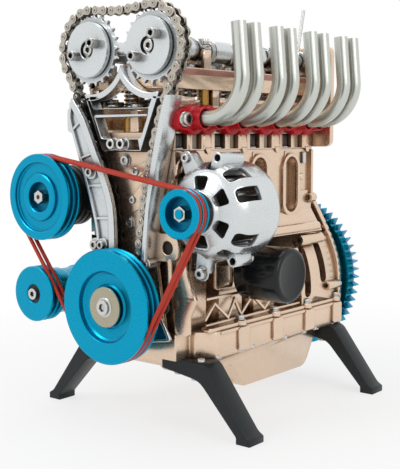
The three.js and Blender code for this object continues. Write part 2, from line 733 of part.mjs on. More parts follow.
function flywheelShape() {
  const rear = wheel.front + wheel.width;
  const rim = toothed(
    crankCentre, wheel.teeth, wheel.root, wheel.tip, wheel.front, rear, 0, wheel.width / wheel.tip,
  );
  const dish = (from, to) =>
    cut(
      bar("y", crankCentre, from, to, wheel.rimInner, fineSides),
      bar("y", crankCentre, from - overrun, to + overrun, wheel.hub),
    );
  const webFrom = wheel.front + (wheel.width - wheel.web) / 2;
  const hub = bar("y", crankCentre, wheel.front - wheel.hubWidth / 2, rear + wheel.hubWidth / 2, wheel.hub);
  const holes = circle(crankCentre, (wheel.hub + wheel.rimInner) / 2, 6).map((place) =>
    bar("y", place, wheel.front - overrun, rear + overrun, (wheel.rimInner - wheel.hub) / 3.4, smallSides),
  );
  return cut(
    join(rim, hub),
    dish(wheel.front - overrun, webFrom),
    dish(webFrom + wheel.web, rear + overrun),
    holes,
    bar("y", crankCentre, wheel.front - wheel.hubWidth, rear + wheel.hubWidth, crank.tail + clearance),
  );
}

// Pulleys: a rim with two round-belt grooves, a dished face and a web
const grooveLines = [belt.first, belt.first + belt.spacing];

function grooveProfile(radius) {
  const { grooveDepth, grooveHalf, grooveFloor } = pulley;
  const floor = radius - grooveDepth;
  return grooveLines.flatMap((y) => [
    [radius, y - grooveHalf], [floor, y - grooveFloor], [floor, y + grooveFloor], [radius, y + grooveHalf],
  ]);
}

function crankPulley() {
  const { radius, dish, dishDepth, nose } = crankWheel;
  const profile = [
    [nose + clearance, dishDepth], [dish, dishDepth], [dish + dishDepth / 2, 0], [radius, 0],
    ...grooveProfile(radius),
    [radius, pulley.width], [dish, pulley.width], [dish, pulley.width - dishDepth], [
      nose + clearance, pulley.width - dishDepth,
    ],
  ];
  return turned(crankCentre, [...profile, profile[0]], fineSides);
}

function pulleyBolt() {
  const face = crankWheel.dishDepth - clearance;
  const washer = bar("y", crankCentre, face - crankWheel.washerDepth, face, crankWheel.washer);
  const head = bar(
    "y", crankCentre, face - crankWheel.washerDepth - clearance - crankWheel.washerDepth, face,
    crankWheel.bolt, smallSides,
  );
  const socket = bar(
    "y", crankCentre, face - 3 * crankWheel.washerDepth, face - crankWheel.washerDepth, crankWheel.bolt / 2,
    6,
  );
  return cut(join(washer, head), socket);
}

// The alternator's and the compressor's pulleys carry their own shaft and hexagon nut.
function shaftPulley(spec, height, shaftEnd) {
  const centre = [spec.x, height];
  const radius = spec.pulley;
  const profile = [
    [0, spec.wellDepth], [spec.well, spec.wellDepth], [spec.well, 0], [radius, 0],
    ...grooveProfile(radius),
    [radius, pulley.width], [0, pulley.width],
  ];
  const nut = bar("y", centre, spec.wellDepth / 3, spec.wellDepth + overrun, spec.nut ?? alternator.nut, 6);
  const stud = bar(
    "y", centre, spec.wellDepth / 6, spec.wellDepth, (spec.nut ?? alternator.nut) / 2, smallSides,
  );
  const shaft = bar("y", centre, pulley.width - overrun, shaftEnd, spec.shaft, smallSides);
  return join(turned(centre, profile, pulleySides), nut, stud, shaft);
}

// Belt drive
const beltDiscs = [
  { x: compressor.x, height: compressor.height, radius: compressor.pulley - belt.sink, side: 1 },
  { x: alternator.x, height: alternatorHeight, radius: alternator.pulley - belt.sink, side: 1 },
  { x: 0, height: crankHeight, radius: crankWheel.radius - belt.sink, side: 1 },
  { x: pump.x, height: pumpHeight, radius: pump.pulley - belt.sink, side: -1 },
];

function beltShape(y) {
  return band(beltLoop(beltDiscs, 9), belt.radius, y - belt.radius, y + belt.radius);
}

// Timing chain and what guides it
function chainShape() {
  const { middle, inner, plate, roller, plateHalf } = chain;
  const [nearFace, farFace] = [middle - inner / 2, middle + inner / 2];
  const joining = chainPins.filter((_, i) => i % 3 === 0);
  const rollers = joining.map((pin) => bar("y", pin, nearFace - plate / 2, farFace + plate / 2, roller, 6));
  return join(
    band(chainPins, plateHalf, nearFace - plate, nearFace),
    band(chainPins, plateHalf, farFace, farFace + plate), rollers,
  );
}

// A strip beside a strand that is listed from the top down, between two distances from its middle line.
function besideRun(run, side, near, far) {
  const shift = (d) =>
    run.map((p, i) => {
      const [before, after] = [run[Math.max(i - 1, 0)], run[Math.min(i + 1, run.length - 1)]];
      const [du, dv] = [after[0] - before[0], after[1] - before[1]];
      const size = Math.hypot(du, dv);
      return [p[0] + ((side * dv) / size) * d, p[1] - ((side * du) / size) * d];
    });
  return [...shift(near), ...shift(far).reverse()];
}

const backplateFront = blockFront - backplate.thick - clearance;

function chainGuide() {
  return sheet(
    "y", besideRun(tightRun, -1, guide.gap, guide.gap + guide.thick), guide.front,
    backplateFront - clearance,
  );
}

// The arm's flange lies in front of the slack strand, and the shoe behind the flange presses on the strand.
function tensionArm() {
  const { front, flange: thick, cover, depth, shoe, rib, recess, rim, gap, bolt, boltHead } = arm;
  const back = front + thick;
  const flat = sheet("y", besideRun(slackRun, 1, -cover, depth), front, back);
  const trough = sheet(
    "y", besideRun(slackRun.slice(1, -1), 1, shoe, depth - rim), front - overrun, front + recess,
  );
  const pad = sheet("y", besideRun(slackRun, 1, gap, shoe), back - overrun, backplateFront - clearance);
  const ribs = slackRun.slice(2, -2).map(([x, z]) => cuboid(x - depth, x - shoe + rim, front, back, z - rib, z));
  const foot = [slackRun.at(-1), slackRun.at(-2)].map(([x, z]) =>
    bar("y", [x - shoe, z], front - boltHead, back, bolt, smallSides),
  );
  const sweep = crankWheel.radius + 2 * clearance;
  const pulleySweep = bar(
    "y", crankCentre, front - boltHead - overrun, pulley.width + clearance, sweep, fineSides,
  );
  return cut(join(cut(flat, trough), pad, ribs, foot), pulleySweep);
}

function chainBracket() {
  const { front, arch, half, foot, rim, barRise, barHalf, bossRise } = bracket;
  const { screw, screwStep, screwRise, screwReach } = bracket;
  const barHeight = deckHeight + barRise;
  const low = deckHeight;
  const top = camHeight - Math.sqrt(arch * arch - (half - camHalf) ** 2);
  const outline = [
    [-foot + rim, low], [foot + rim, low], [half + rim / 2, top], [half + rim / 2, camHeight],
    [-half, camHeight], [-half, top],
  ];
  const arches = camCentres.map((centre) => bar("y", centre, front - overrun, blockFront, arch, fineSides));
  const side = (z) => foot + ((half - foot) * (z - low)) / (top - low) - rim;
  const upperWindow = cut(
    sheet(
      "y",
      [
        [-side(barHeight + barHalf), barHeight + barHalf], [side(barHeight + barHalf), barHeight + barHalf],
        [side(top), top - rim], [0, camHeight], [-side(top), top - rim],
      ],
      front - overrun, blockFront,
    ),
    camCentres.map((centre) => bar("y", centre, front - overrun, blockFront, arch + rim, fineSides)),
  );
  const [l, h] = [deckHeight + bossRise, barHeight - barHalf];
  const lowerWindow = sheet(
    "y", [[rim - side(l), l], [side(l), l], [side(h), h], [rim - side(h), h]], front - overrun, blockFront,
  );
  const screws = [-1, 1].map((place) =>
    bar(
      "y", [place * screwStep, deckHeight + screwRise], front - screwReach, front + overrun, screw,
      smallSides,
    ),
  );
  return join(
    cut(sheet("y", outline, front, blockFront - clearance), arches, upperWindow, lowerWindow), screws,
  );
}

function backplateShape() {
  const { thick, half, low, lowHalf, ear, earHeight, earRadius, earHole } = backplate;
  const top = deckHeight - clearance;
  const outline = [[-half, top], [-lowHalf, low], [lowHalf, low], [half, top]];
  const [front, rear] = [backplateFront, blockFront - clearance];
  const plate = sheet("y", outline, front, rear);
  const lug = join(
    bar("y", [ear, earHeight], front, rear, earRadius),
    sheet(
      "y",
      [
        [0, earHeight - earRadius], [ear, earHeight - earRadius], [ear, earHeight + earRadius],
        [0, earHeight + earRadius],
      ],
      front, rear,
    ),
  );
  const hole = bar("y", crankCentre, front - overrun, rear + overrun, crank.journal + clearance);
  return cut(
    join(plate, lug), hole,
    bar("y", [ear, earHeight], front - overrun, rear + overrun, earHole, smallSides),
  );
}

// Exhaust side
function flangeShape() {
  const [from, to] = [blockHalf, blockHalf + flange.depth];
  const lobes = ports.map((y) => bar("x", [y, portHeight], from, to, flange.lobe, roundSides));
  const { start, chamfer, lobe, screwPlace } = flange;
  const rail = cuboid(from, to, ports[0], ports.at(-1), portHeight - flange.bar, portHeight + flange.bar);
  const tabOutline = [
    [ports[0], portHeight - lobe + clearance], [ports[0], portHeight + lobe - clearance], [
      start + chamfer, portHeight + lobe - clearance,
    ],
    [start, portHeight + lobe - 2 * chamfer], [start, portHeight - lobe + 2 * chamfer], [
      start + chamfer, portHeight - lobe + clearance,
    ],
  ];
  const tab = sheet("x", tabOutline, from, to);
  const screw = bar(
    "x", [screwPlace, portHeight], to - overrun, to + flange.screwHead, flange.screw, smallSides,
  );
  const rim = to + flange.reach;
  const collars = ports.map((y) => bar("x", [y, portHeight], to - overrun, rim, flange.collar, smallSides));
  const sockets = ports.map((y) => bar("x", [y, portHeight], to, rim + overrun, flange.socket, smallSides));
  const holes = ports.map((y) => bar("x", [y, portHeight], from - overrun, to + overrun, pipe.bore, smallSides));
  return cut(join(lobes, rail, tab, screw, collars), sockets, holes);
}

function pipeShape(y) {
  const start = blockHalf + flange.depth + clearance;
  const bendX = start + pipe.straight;
  const path = new THREE.CurvePath();
  const point = (x, z) => new V3(x, y, z);
  const bendTop = point(bendX + pipe.bend, portHeight + pipe.bend);
  const pull = pipe.bend * 0.55; // handle length of a quarter circle as a cubic curve
  path.add(new THREE.LineCurve3(point(start, portHeight), point(bendX, portHeight)));
  path.add(
    new THREE.CubicBezierCurve3(
      point(bendX, portHeight), point(bendX + pull, portHeight), point(
        bendTop.x, bendTop.z - pull,
      ), bendTop,
    ),
  );
  path.add(new THREE.LineCurve3(bendTop, point(bendTop.x - pipe.lean, pipe.top)));
  const section = new THREE.Shape(circle([0, 0], pipe.radius, smallSides).map(([u, v]) => new THREE.Vector2(u, v)));
  const tube = solid(new THREE.ExtrudeGeometry(section, { steps: 9, extrudePath: path, bevelEnabled: false }));
  return cut(
    tube,
    bar("z", [bendTop.x - pipe.lean, y], pipe.top - pipe.mouth, pipe.top + overrun, pipe.bore, smallSides),
  );
}

function intakeShape() {
  const face = -blockHalf;
  const plate = cuboid(
    face - intake.depth, face, ports[0] - flange.lobe, ports.at(-1) + flange.lobe, portHeight - flange.lobe,
    portHeight + flange.lobe,
  );
  const end = face - intake.depth - intake.neckLength;
  const necks = cylinderList.map((y) => bar("x", [y, portHeight], end, face - overrun, intake.neck, smallSides));
  const plenum = sheet(
    "y",
    roundedOutline(
      end - intake.plenum, end + overrun, portHeight - intake.plenumHalf, portHeight + intake.plenumHalf,
      intake.plenumHalf / 2,
    ),
    cylinderList[0] - intake.plenumOver, cylinderList.at(-1) + intake.plenumOver,
  );
  const holes = ports.map((y) => bar("x", [y, portHeight], face - intake.depth / 2, face + overrun, head.port, smallSides));
  return cut(join(plate, necks, plenum), holes);
}

function rearPlateShape() {
  const { half, low, high, thick, corner } = rearPlate;
  const front = blockRear + clearance;
  return sheet("y", roundedOutline(-half, half, low, high, corner), front, front + thick);
}

// Pieces driven by the belts and bolted to the sides
function alternatorHousing() {
  const { x, radius, front, shoulder, rear, wall, hub, shaft, windowCount } = alternator;
  const height = alternatorHeight;
  const centre = [x, height];
  const outer = [
    [shaft + clearance, front], [hub, front], [hub + wall, front + wall], [radius * 0.82, front + 2 * wall],
    [radius, shoulder], [radius, rear - wall], [radius - wall, rear], [shaft + clearance, rear],
  ];
  const inner = [
    [shaft + clearance, rear - wall], [radius - wall, rear - wall], [radius - wall, shoulder],
    [radius * 0.82 - wall, front + 3 * wall], [shaft + clearance, front + 2 * wall],
  ];
  const shell = turned(centre, [...outer, ...inner, outer[0]], fineSides);
  const cuts = Array.from({ length: windowCount }, (_, i) => {
    const angle = ((i + 0.5) * 2 * Math.PI) / windowCount;
    const wedge = (r0, r1, half) => [
      onCircle(centre, r0, angle - half * 0.7), onCircle(centre, r1, angle - half),
      onCircle(centre, r1, angle + half), onCircle(centre, r0, angle + half * 0.7),
    ];
    const spread = Math.PI / windowCount;
    return [
      sheet("y", wedge(hub + 1.5 * wall, radius * 0.86, spread * 0.56), front - overrun, shoulder - wall),
      sheet(
        "y", wedge(radius - 2 * wall, radius + overrun, spread * 0.42), shoulder + wall, rear - 4 * wall,
      ),
    ];
  });
  const lugs = alternator.lugs.map(([across, up, y]) => {
    const place = [x + across, height + up];
    const size = Math.hypot(across, up);
    const [nu, nv] = [(-up / size) * alternator.lug, (across / size) * alternator.lug];
    const outline = [
      [x + nu, height + nv], [x - nu, height - nv], [place[0] - nu, place[1] - nv],
      [place[0] + nu, place[1] + nv],
    ];
    const end = y + alternator.lugLength;
    const lug = join(sheet("y", outline, y, end), bar("y", place, y, end, alternator.lug, smallSides));
    return cut(lug, bar("y", place, y - overrun, end + overrun, alternator.lugHole, smallSides));
  });
  const core = bar("y", centre, front + 2 * wall, rear - wall, radius - wall, fineSides);
  return join(cut(shell, ...cuts), lugs.map((lug) => cut(lug, core)));
}

function alternatorRotor() {
  const { x, shoulder, rear, wall, rotor, shaft } = alternator;
  const height = alternatorHeight;
  const centre = [x, height];
  const core = bar("y", centre, shoulder, rear - 2 * wall, rotor, roundSides);
  return cut(core, bar("y", centre, shoulder - overrun, rear, shaft + clearance));
}

function compressorBody() {
  const { x, height, body, rear, shaft } = compressor;
  const front = pulley.width + clearance;
  const drum = bar("y", [x, height], front, rear, body);
  const footEnd = cylinderList[0] - block.windowSide - block.window / 2 - block.windowRim - clearance;
  const foot = cuboid(x, -blockHalf - clearance, blockFront, footEnd, height - body / 2, height + body / 2);
  return cut(join(drum, foot), bar("y", [x, height], front - overrun, rear - overrun, shaft + clearance));
}

function pumpBody() {
  const { x, body, rear, shaft, arm } = pump;
  const height = pumpHeight;
  const front = pulley.width + clearance;
  const drum = bar("y", [x, height], front, rear, body);
  const bridge = cuboid(
    x, -block.skirt - clearance, bedplate.front, rear + arm, height - arm, height + arm,
  );
  return cut(join(drum, bridge), bar("y", [x, height], front - overrun, rear - arm, shaft + clearance));
}

function filterShape() {
  const { y, height, radius, end, neck, neckLength, edge } = filter;
  const start = block.skirt + clearance + neckLength;
  const can = bar("x", [y, height], start, end - edge, radius, fineSides);
  const lid = bar("x", [y, height], end - 2 * edge, end, radius - edge, fineSides);
  return join(can, lid, bar("x", [y, height], block.skirt + clearance, start + overrun, neck, smallSides));
}

function dipstickShape() {
  const { radius, x, y, rise, lean } = dipstick;
  const foot = new V3(x, y, carrierLow + carrier.height + clearance);
  const path = new THREE.LineCurve3(foot, new V3(x, y + lean, foot.z + rise));
  const section = new THREE.Shape(circle([0, 0], radius, 8).map(([u, v]) => new THREE.Vector2(u, v)));
  return solid(new THREE.ExtrudeGeometry(section, { steps: 1, extrudePath: path, bevelEnabled: false }));
}

// The engine, put together
piece("engine_block", "gold", engineBlock());
piece("bedplate", "gold", bedplateShape());
piece("oil_pan", "gold", cut(panShape(0), panShape(pan.wall)));
piece("leg_front_right", "black", legShape(1, leg.front));
piece("leg_front_left", "black", legShape(-1, leg.front));
piece("leg_rear_right", "black", legShape(1, legRear));
piece("leg_rear_left", "black", legShape(-1, legRear));
piece("cylinder_head", "gold", headShape());
piece("cam_carrier", "gold", carrierShape());
pedestals.forEach((span, i) => piece(`cam_cap_${i + 1}`, "silver", capShape(span)));
piece("rear_plate", "gold", rearPlateShape());
piece("timing_backplate", "gold", backplateShape());
piece("exhaust_flange", "red", flangeShape());
ports.forEach((y, i) => piece(`exhaust_pipe_${i + 1}`, "silver", pipeShape(y)));
piece("intake_manifold", "silver", intakeShape());
piece("chain_bracket", "silver", chainBracket());
piece("tension_arm", "silver", tensionArm());
piece("chain_guide", "silver", chainGuide());
piece("timing_chain", "steel", chainShape());
grooveLines.forEach((y, i) => piece(i ? "belt_rear" : "belt_front", "orange", beltShape(y)));
piece("alternator_housing", "silver", alternatorHousing());
piece("alternator_rotor", "steel", alternatorRotor());
piece(
  "alternator_pulley", "blue",
  shaftPulley(alternator, alternatorHeight, alternator.rear - alternator.wall - clearance),
);
piece("compressor_body", "black", compressorBody());
piece(
  "compressor_pulley", "blue",
  shaftPulley(compressor, compressor.height, compressor.rear - 2 * overrun),
);
piece("pump_body", "blue", pumpBody());
piece("idler_pulley", "blue", shaftPulley(pump, pumpHeight, pump.rear - pump.arm - clearance));
piece("crank_pulley", "blue", crankPulley());
piece("pulley_bolt", "steel", pulleyBolt());
piece("crankshaft", "steel", crankshaftShape());
piece(
  "crank_sprocket", "steel",
  cut(
    sprocketWheel(crankCentre, crankTeeth),
    bar("y", crankCentre, 0, blockFront, crankWheel.nose + clearance),
  ),
);
piece("flywheel", "blue", flywheelShape());
const screwAngles = [23, 38].map((angle) => angle * degrees);
["left", "right"].forEach((side, i) => {
  piece(`cam_sprocket_${side}`, "silver", camSprocket(camCentres[i], screwAngles[i]));
  piece(`camshaft_${side}`, "silver", camshaftShape(camCentres[i][0], i * Math.PI * 0.6));
});
cylinderList.forEach((_, i) => {
  piece(`piston_${i + 1}`, "steel", pistonShape(i));
  piece(`con_rod_${i + 1}`, "steel", rodShape(i));
});
["upper", "lower"].forEach((place, i) => {
  const z = crankHeight + ((i ? -1 : 1) * crankThrow) / 2;
  piece(
    `flywheel_dowel_${place}`, "steel",
    bar("y", [0, z], dowelStart + clearance, crankTail, crank.dowel, smallSides),
  );
});
piece("oil_filter", "black", filterShape());
piece("dipstick", "steel", dipstickShape());

const engine = new THREE.Group();
engine.add(...pieces);
const outer = new THREE.Box3().setFromObject(engine);
engine.position.set(-(outer.min.x + outer.max.x) / 2, -(outer.min.y + outer.max.y) / 2, 0);

export default engine;
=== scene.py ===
"""Dresses the solids of a bench-top, inline four-cylinder, twin-cam engine with detailed pieces and finishes.

Sizes in the property groups are in metres. The functions that shape a piece work in millimetres, in the
engine's own frame: X across (exhaust side positive), Y back from the pulleys' front face, and Z up from
the floor.
"""

import math
from types import SimpleNamespace

import bmesh
import bpy
from bpy.props import FloatProperty, FloatVectorProperty, IntProperty, PointerProperty
from bpy.types import Operator, Panel, PropertyGroup
from mathutils import Matrix, Vector


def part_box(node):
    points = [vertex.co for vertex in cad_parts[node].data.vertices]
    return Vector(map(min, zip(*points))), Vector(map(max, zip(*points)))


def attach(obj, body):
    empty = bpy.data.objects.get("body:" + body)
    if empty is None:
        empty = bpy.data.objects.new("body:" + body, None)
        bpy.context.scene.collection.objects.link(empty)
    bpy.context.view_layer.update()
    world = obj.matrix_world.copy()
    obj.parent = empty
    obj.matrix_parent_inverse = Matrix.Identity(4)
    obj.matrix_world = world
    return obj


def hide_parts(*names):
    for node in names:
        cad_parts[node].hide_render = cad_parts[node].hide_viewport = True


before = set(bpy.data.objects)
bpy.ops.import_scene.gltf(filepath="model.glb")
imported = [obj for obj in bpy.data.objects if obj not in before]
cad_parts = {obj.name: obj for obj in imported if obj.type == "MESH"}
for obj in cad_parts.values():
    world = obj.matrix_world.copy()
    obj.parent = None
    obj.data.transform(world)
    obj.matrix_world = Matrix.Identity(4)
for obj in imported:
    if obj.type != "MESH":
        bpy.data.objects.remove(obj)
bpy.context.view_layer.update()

bl_info = {
    "name": "Four stroke engine model",
    "version": (1, 0, 0),
    "blender": (4, 5, 0),
    "location": "View3D > Sidebar > Engine",
    "description": "Detailed pieces and finishes for a bench-top four stroke engine model",
    "category": "Object",
}

MM = 0.001
PULLEY_LOW, PULLEY_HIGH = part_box("crank_pulley")
SHIFT = Vector(((PULLEY_LOW.x + PULLEY_HIGH.x) / 2, PULLEY_LOW.y, 0))
TAU = 2 * math.pi

# In millimetres: axes as (x, z), depths of the belts' grooves, radii of the bores, and a cutter's edge
ALTERNATOR = (42.8, 100.5)
COMPRESSOR = (-42.4, 104.2)
IDLER = (-46.7, 58.2)
GROOVES = (2.7, 5.8)
BORE = 11.3
CAM_BORE = 3.8
SHARP = 0.01


# Sizes and colours that a user may change


def size(name, text, value):
    return FloatProperty(name=name, description=text, default=value * MM, unit="LENGTH", precision=5)


def colour(name, text, value):
    kind = {"size": 3, "subtype": "COLOR", "min": 0, "max": 1}
    return FloatVectorProperty(name=name, description=text, default=value, **kind)


class EngineSizes(PropertyGroup):
    crank_height: size("Crank height", "Height of the crankshaft above the floor", 57)
    cam_height: size("Cam height", "Height of the camshafts above the floor", 171)
    cam_half: size("Cam spacing, half", "From the middle of the engine to each camshaft", 18.3)
    first_cylinder: size("First cylinder", "From the pulleys' face back to the first cylinder", 31)
    pitch: size("Cylinder pitch", "From one cylinder to the next", 27.5)
    deck: size("Deck height", "Height of the top of the block", 126)
    block_half: size("Block width, half", "From the middle to the block's side", 26)
    block_front: size("Block front", "From the pulleys' face back to the block", 18.3)
    block_rear: size("Block rear", "From the pulleys' face back to the end of the block", 128.5)


class ChainSizes(PropertyGroup):
    pitch: size("Chain pitch", "From pin to pin", 5)
    plate: size("Plate height, half", "Half the height of a link plate", 2.05)
    pin: size("Pin radius", "Radius of the pin between the plates", 0.65)
    cam_teeth: IntProperty(name="Cam teeth", description="Teeth of each cam sprocket", default=22, min=8)
    belt: size("Belt radius", "Radius of a round belt", 0.9)
    crank_pulley: size("Crank pulley radius", "Outer radius of the crank pulley", 25.8)
    alternator_pulley: size("Alternator pulley radius", "Outer radius of the alternator pulley", 10.45)
    compressor_pulley: size("Compressor pulley radius", "Outer radius of the compressor pulley", 20.1)
    idler: size("Idler radius", "Outer radius of the idler pulley", 13.1)


class ExhaustSizes(PropertyGroup):
    pipe: size("Pipe radius", "Outer radius of an exhaust pipe", 3.25)
    wall: size("Pipe wall", "Thickness of a pipe's wall", 0.7)
    bend: size("Bend radius", "Radius of a pipe's bend", 17.8)
    top: size("Pipe top", "Height of the pipes' ends", 179.8)
    port_height: size("Port height", "Height of the exhaust ports", 140)
    port_step: size("Port step, half", "From a cylinder's middle to each of its ports", 5.1)


class FinishColours(PropertyGroup):
    gold: colour("Case", "Champagne anodised aluminium", (0.76, 0.585, 0.445))
    silver: colour("Light metal", "Satin silver aluminium", (0.66, 0.69, 0.7))
    bright: colour("Bright metal", "Polished screw heads", (0.62, 0.62, 0.6))
    steel: colour("Steel", "Machined steel", (0.46, 0.46, 0.44))
    pipe: colour("Pipes", "Polished exhaust pipes", (0.6, 0.62, 0.57))
    link: colour("Chain", "Steel of the chain's links", (0.5, 0.46, 0.4))
    blue: colour("Blue", "Blue anodised aluminium", (0.0, 0.33, 0.54))
    red: colour("Flange", "Red lacquered flange", (0.52, 0.003, 0.012))
    belt: colour("Belt", "Red belt rubber", (0.47, 0.028, 0.008))
    black: colour("Black", "Black coated metal", (0.012, 0.016, 0.018))
    bronze: colour("Bronze", "Bronze valve guides", (0.45, 0.26, 0.07))
    # Near black: oiled steel, and also painted shade in holes, sockets, gaps and over the shaded strand of
    # the chain.
    dark: colour("Chain dark", "Oiled steel inside the chain", (0.05, 0.045, 0.04))
    grain: FloatProperty(
        name="Grain", description="Strength of the fine surface grain", default=0.35, min=0, max=1,
        subtype="FACTOR",
    )


class StageSizes(PropertyGroup):
    floor: size("Floor radius", "Radius of the floor", 1500)
    lens: FloatProperty(
        name="Lens", description="Focal length for the long side of the picture", default=72.7
    )
    key: FloatProperty(name="Key light", description="Strength of the main lamp, in watts", default=2.6)
    sky: FloatProperty(name="Room light", description="Strength of the light from all round", default=0.5)


# Outlines, as (u, v) points in millimetres


def place(axis, u, v, w):
    return {"x": (w, u, v), "y": (u, w, v), "z": (u, v, w)}[axis]


def on_side(sign, near, far):
    """Two distances from the middle, on one side of the engine, the lower one first."""
    return sorted((sign * near, sign * far))


def polar(centre, radius, angle):
    return centre[0] + radius * math.cos(angle), centre[1] + radius * math.sin(angle)


def ring(centre, radius, count, start=0.0, squash=1.0):
    angles = [start + TAU * i / count for i in range(count)]
    return [(centre[0] + radius * math.cos(a), centre[1] + squash * radius * math.sin(a)) for a in angles]


def arc(centre, radius, start, end, steps):
    return [polar(centre, radius, math.radians(start + (end - start) * i / steps)) for i in range(steps + 1)]


def rectangle(u0, u1, v0, v1):
    return [(u0, v0), (u1, v0), (u1, v1), (u0, v1)]


def slot_outline(u, low, high, half, steps=14):
    return arc((u, high - half), half, 0, 180, steps) + arc((u, low + half), half, 180, 360, steps)


def toothed(centre, teeth, profile, start=0.0):
    """A wheel's outline: profile holds (share of a pitch, radius) for one tooth."""
    return [polar(centre, r, start + (i + part) * TAU / teeth) for i in range(teeth) for part, r in profile]


def rounded(outline, radius, steps=5):
    """Rounds the corners of a closed outline; radius is one number or one for each corner."""
    count = len(outline)
    radii = radius if isinstance(radius, (list, tuple)) else [radius] * count
    result = []
    for i, point in enumerate(outline):
        corner, before, after = Vector(point), Vector(outline[i - 1]), Vector(outline[(i + 1) % count])
        a, b = before - corner, after - corner
        reach = min(radii[i], a.length / 2.01, b.length / 2.01)
        if reach < 1e-3:
            result.append(tuple(corner))
            continue
        p, q = corner + a.normalized() * reach, corner + b.normalized() * reach
        for s in range(steps + 1):
            t = s / steps
            result.append(tuple(p * (1 - t) ** 2 + corner * 2 * t * (1 - t) + q * t * t))
    return result


def thick_line(points, half):
    """The outline of a line of points with a width of twice half."""
    left, right = [], []
    for i, point in enumerate(points):
        before, after = Vector(points[max(i - 1, 0)]), Vector(points[min(i + 1, len(points) - 1)])
        here = Vector(point)
        ways = [w.normalized() for w in (here - before, after - here) if w.length > 0]
        along = (ways[0] + ways[-1]).normalized()
        across = Vector((-along.y, along.x)) * half / max(0.4, along.dot(ways[0]))
        left.append(tuple(here + across))
        right.append(tuple(here - across))
    return left + right[::-1]


def both_sides(half):
    """An outline from its right half and the mirror of that."""
    return list(half) + mirror_u(half)


def mirror_u(outline):
    return [(-u, v) for u, v in reversed(outline)]


def eased(profile, edge=0.3):
    """Cuts a small chamfer on the inner corners of a profile."""
    result = [profile[0]]
    for before, point, after in zip(profile, profile[1:], profile[2:]):
        corner = Vector(point)
        a, b = Vector(before) - corner, Vector(after) - corner
        if a.length < 1e-6 or b.length < 1e-6 or abs(a.normalized().dot(b.normalized())) > 0.96:
            result.append(point)
            continue
        result += [tuple(corner + side.normalized() * min(edge, side.length / 3)) for side in (a, b)]
    return result + [profile[-1]]


def curve_point(p0, p1, p2, p3, t):
    """A point between p1 and p2 on a smooth line through four knots."""
    bend, twist = 2 * p0 - 5 * p1 + 4 * p2 - p3, 3 * p1 - p0 - 3 * p2 + p3
    return 0.5 * (2 * p1 + (p2 - p0) * t + bend * t * t + twist * t ** 3)


def smooth_run(run, steps=5):
    """A smooth open line through the points of a run."""
    result = []
    for i in range(len(run) - 1):
        knots = [Vector(run[min(max(i + k, 0), len(run) - 1)]) for k in (-1, 0, 1, 2)]
        result += [tuple(curve_point(*knots, s / steps)) for s in range(steps)]
    return result + [run[-1]]


def beside(run, near, far):
    """A strip along a run of points, between two distances to its right."""
    def line(distance):
        result = []
        for i, p in enumerate(run):
            a, b = Vector(run[max(i - 1, 0)]), Vector(run[min(i + 1, len(run) - 1)])
            along = (b - a).normalized()
            result.append((p[0] + along.y * distance, p[1] - along.x * distance))
        return result
    return line(near) + line(far)[::-1]


# Surfaces, as (points, faces) in millimetres


def plate(axis, loops, low, high, edge=0.25):
    """A flat piece with rounded edges: loops holds its outline, then its holes."""
    curve = bpy.data.curves.new("outline", "CURVE")
    curve.dimensions, curve.fill_mode = "2D", "BOTH"
    curve.extrude, curve.bevel_depth = (high - low) / 2 - edge, edge
    curve.offset, curve.bevel_resolution = -edge, 1
    for loop in loops:
        spline = curve.splines.new("POLY")
        spline.points.add(len(loop) - 1)
        spline.points.foreach_set("co", [c for u, v in loop for c in (u, v, 0, 1)])
        spline.use_cyclic_u = True
    holder = bpy.data.objects.new("outline", curve)
    mesh = bpy.data.meshes.new_from_object(holder)
    middle = (low + high) / 2
    points = [place(axis, v.co.x, v.co.y, v.co.z + middle) for v in mesh.vertices]
    faces = [tuple(f.vertices) for f in mesh.polygons]
    bpy.data.objects.remove(holder)
    bpy.data.curves.remove(curve)
    bpy.data.meshes.remove(mesh)
    return points, faces


def slab(x0, x1, y0, y1, z0, z1, edge=0.25):
    return plate("z", [rectangle(x0, x1, y0, y1)], z0, z1, edge)


def turned(axis, centre, profile, sides=64, closed=False):
    """A profile of (radius, depth) points turned about a line along axis."""
    points, rings, faces = [], [], []
    for radius, depth in profile:
        if radius < 1e-6:
            rings.append([len(points)])
            points.append(place(axis, *centre, depth))
            continue
        rings.append(list(range(len(points), len(points) + sides)))
        points += [place(axis, u, v, depth) for u, v in ring(centre, radius, sides)]
    for a, b in zip(rings, rings[1:] + (rings[:1] if closed else [])):
        for i in range(sides):
            corners = [a[i % len(a)], a[(i + 1) % len(a)], b[(i + 1) % len(b)], b[i % len(b)]]
            face = tuple(dict.fromkeys(corners))
            if len(face) > 2:
                faces.append(face)
    return points, faces


def drum(axis, centre, radius, low, high, edge=0.3, sides=32):
    """A round bar between two depths, with eased corners unless edge is nothing."""
    profile = [(0, low), (radius, low), (radius, high), (0, high)]
    return turned(axis, centre, eased(profile, edge) if edge else profile, sides)


def disc(axis, centre, radius, depth, sides):
    return turned(axis, centre, [(0, depth), (radius, depth)], sides)


def sleeve(axis, centre, inner, outer, low, high, edge, sides):
    """A round bar with a bore."""
    profile = [(inner, low), (outer, low), (outer, high), (inner, high)]
    return turned(axis, centre, eased(profile, edge), sides, True)


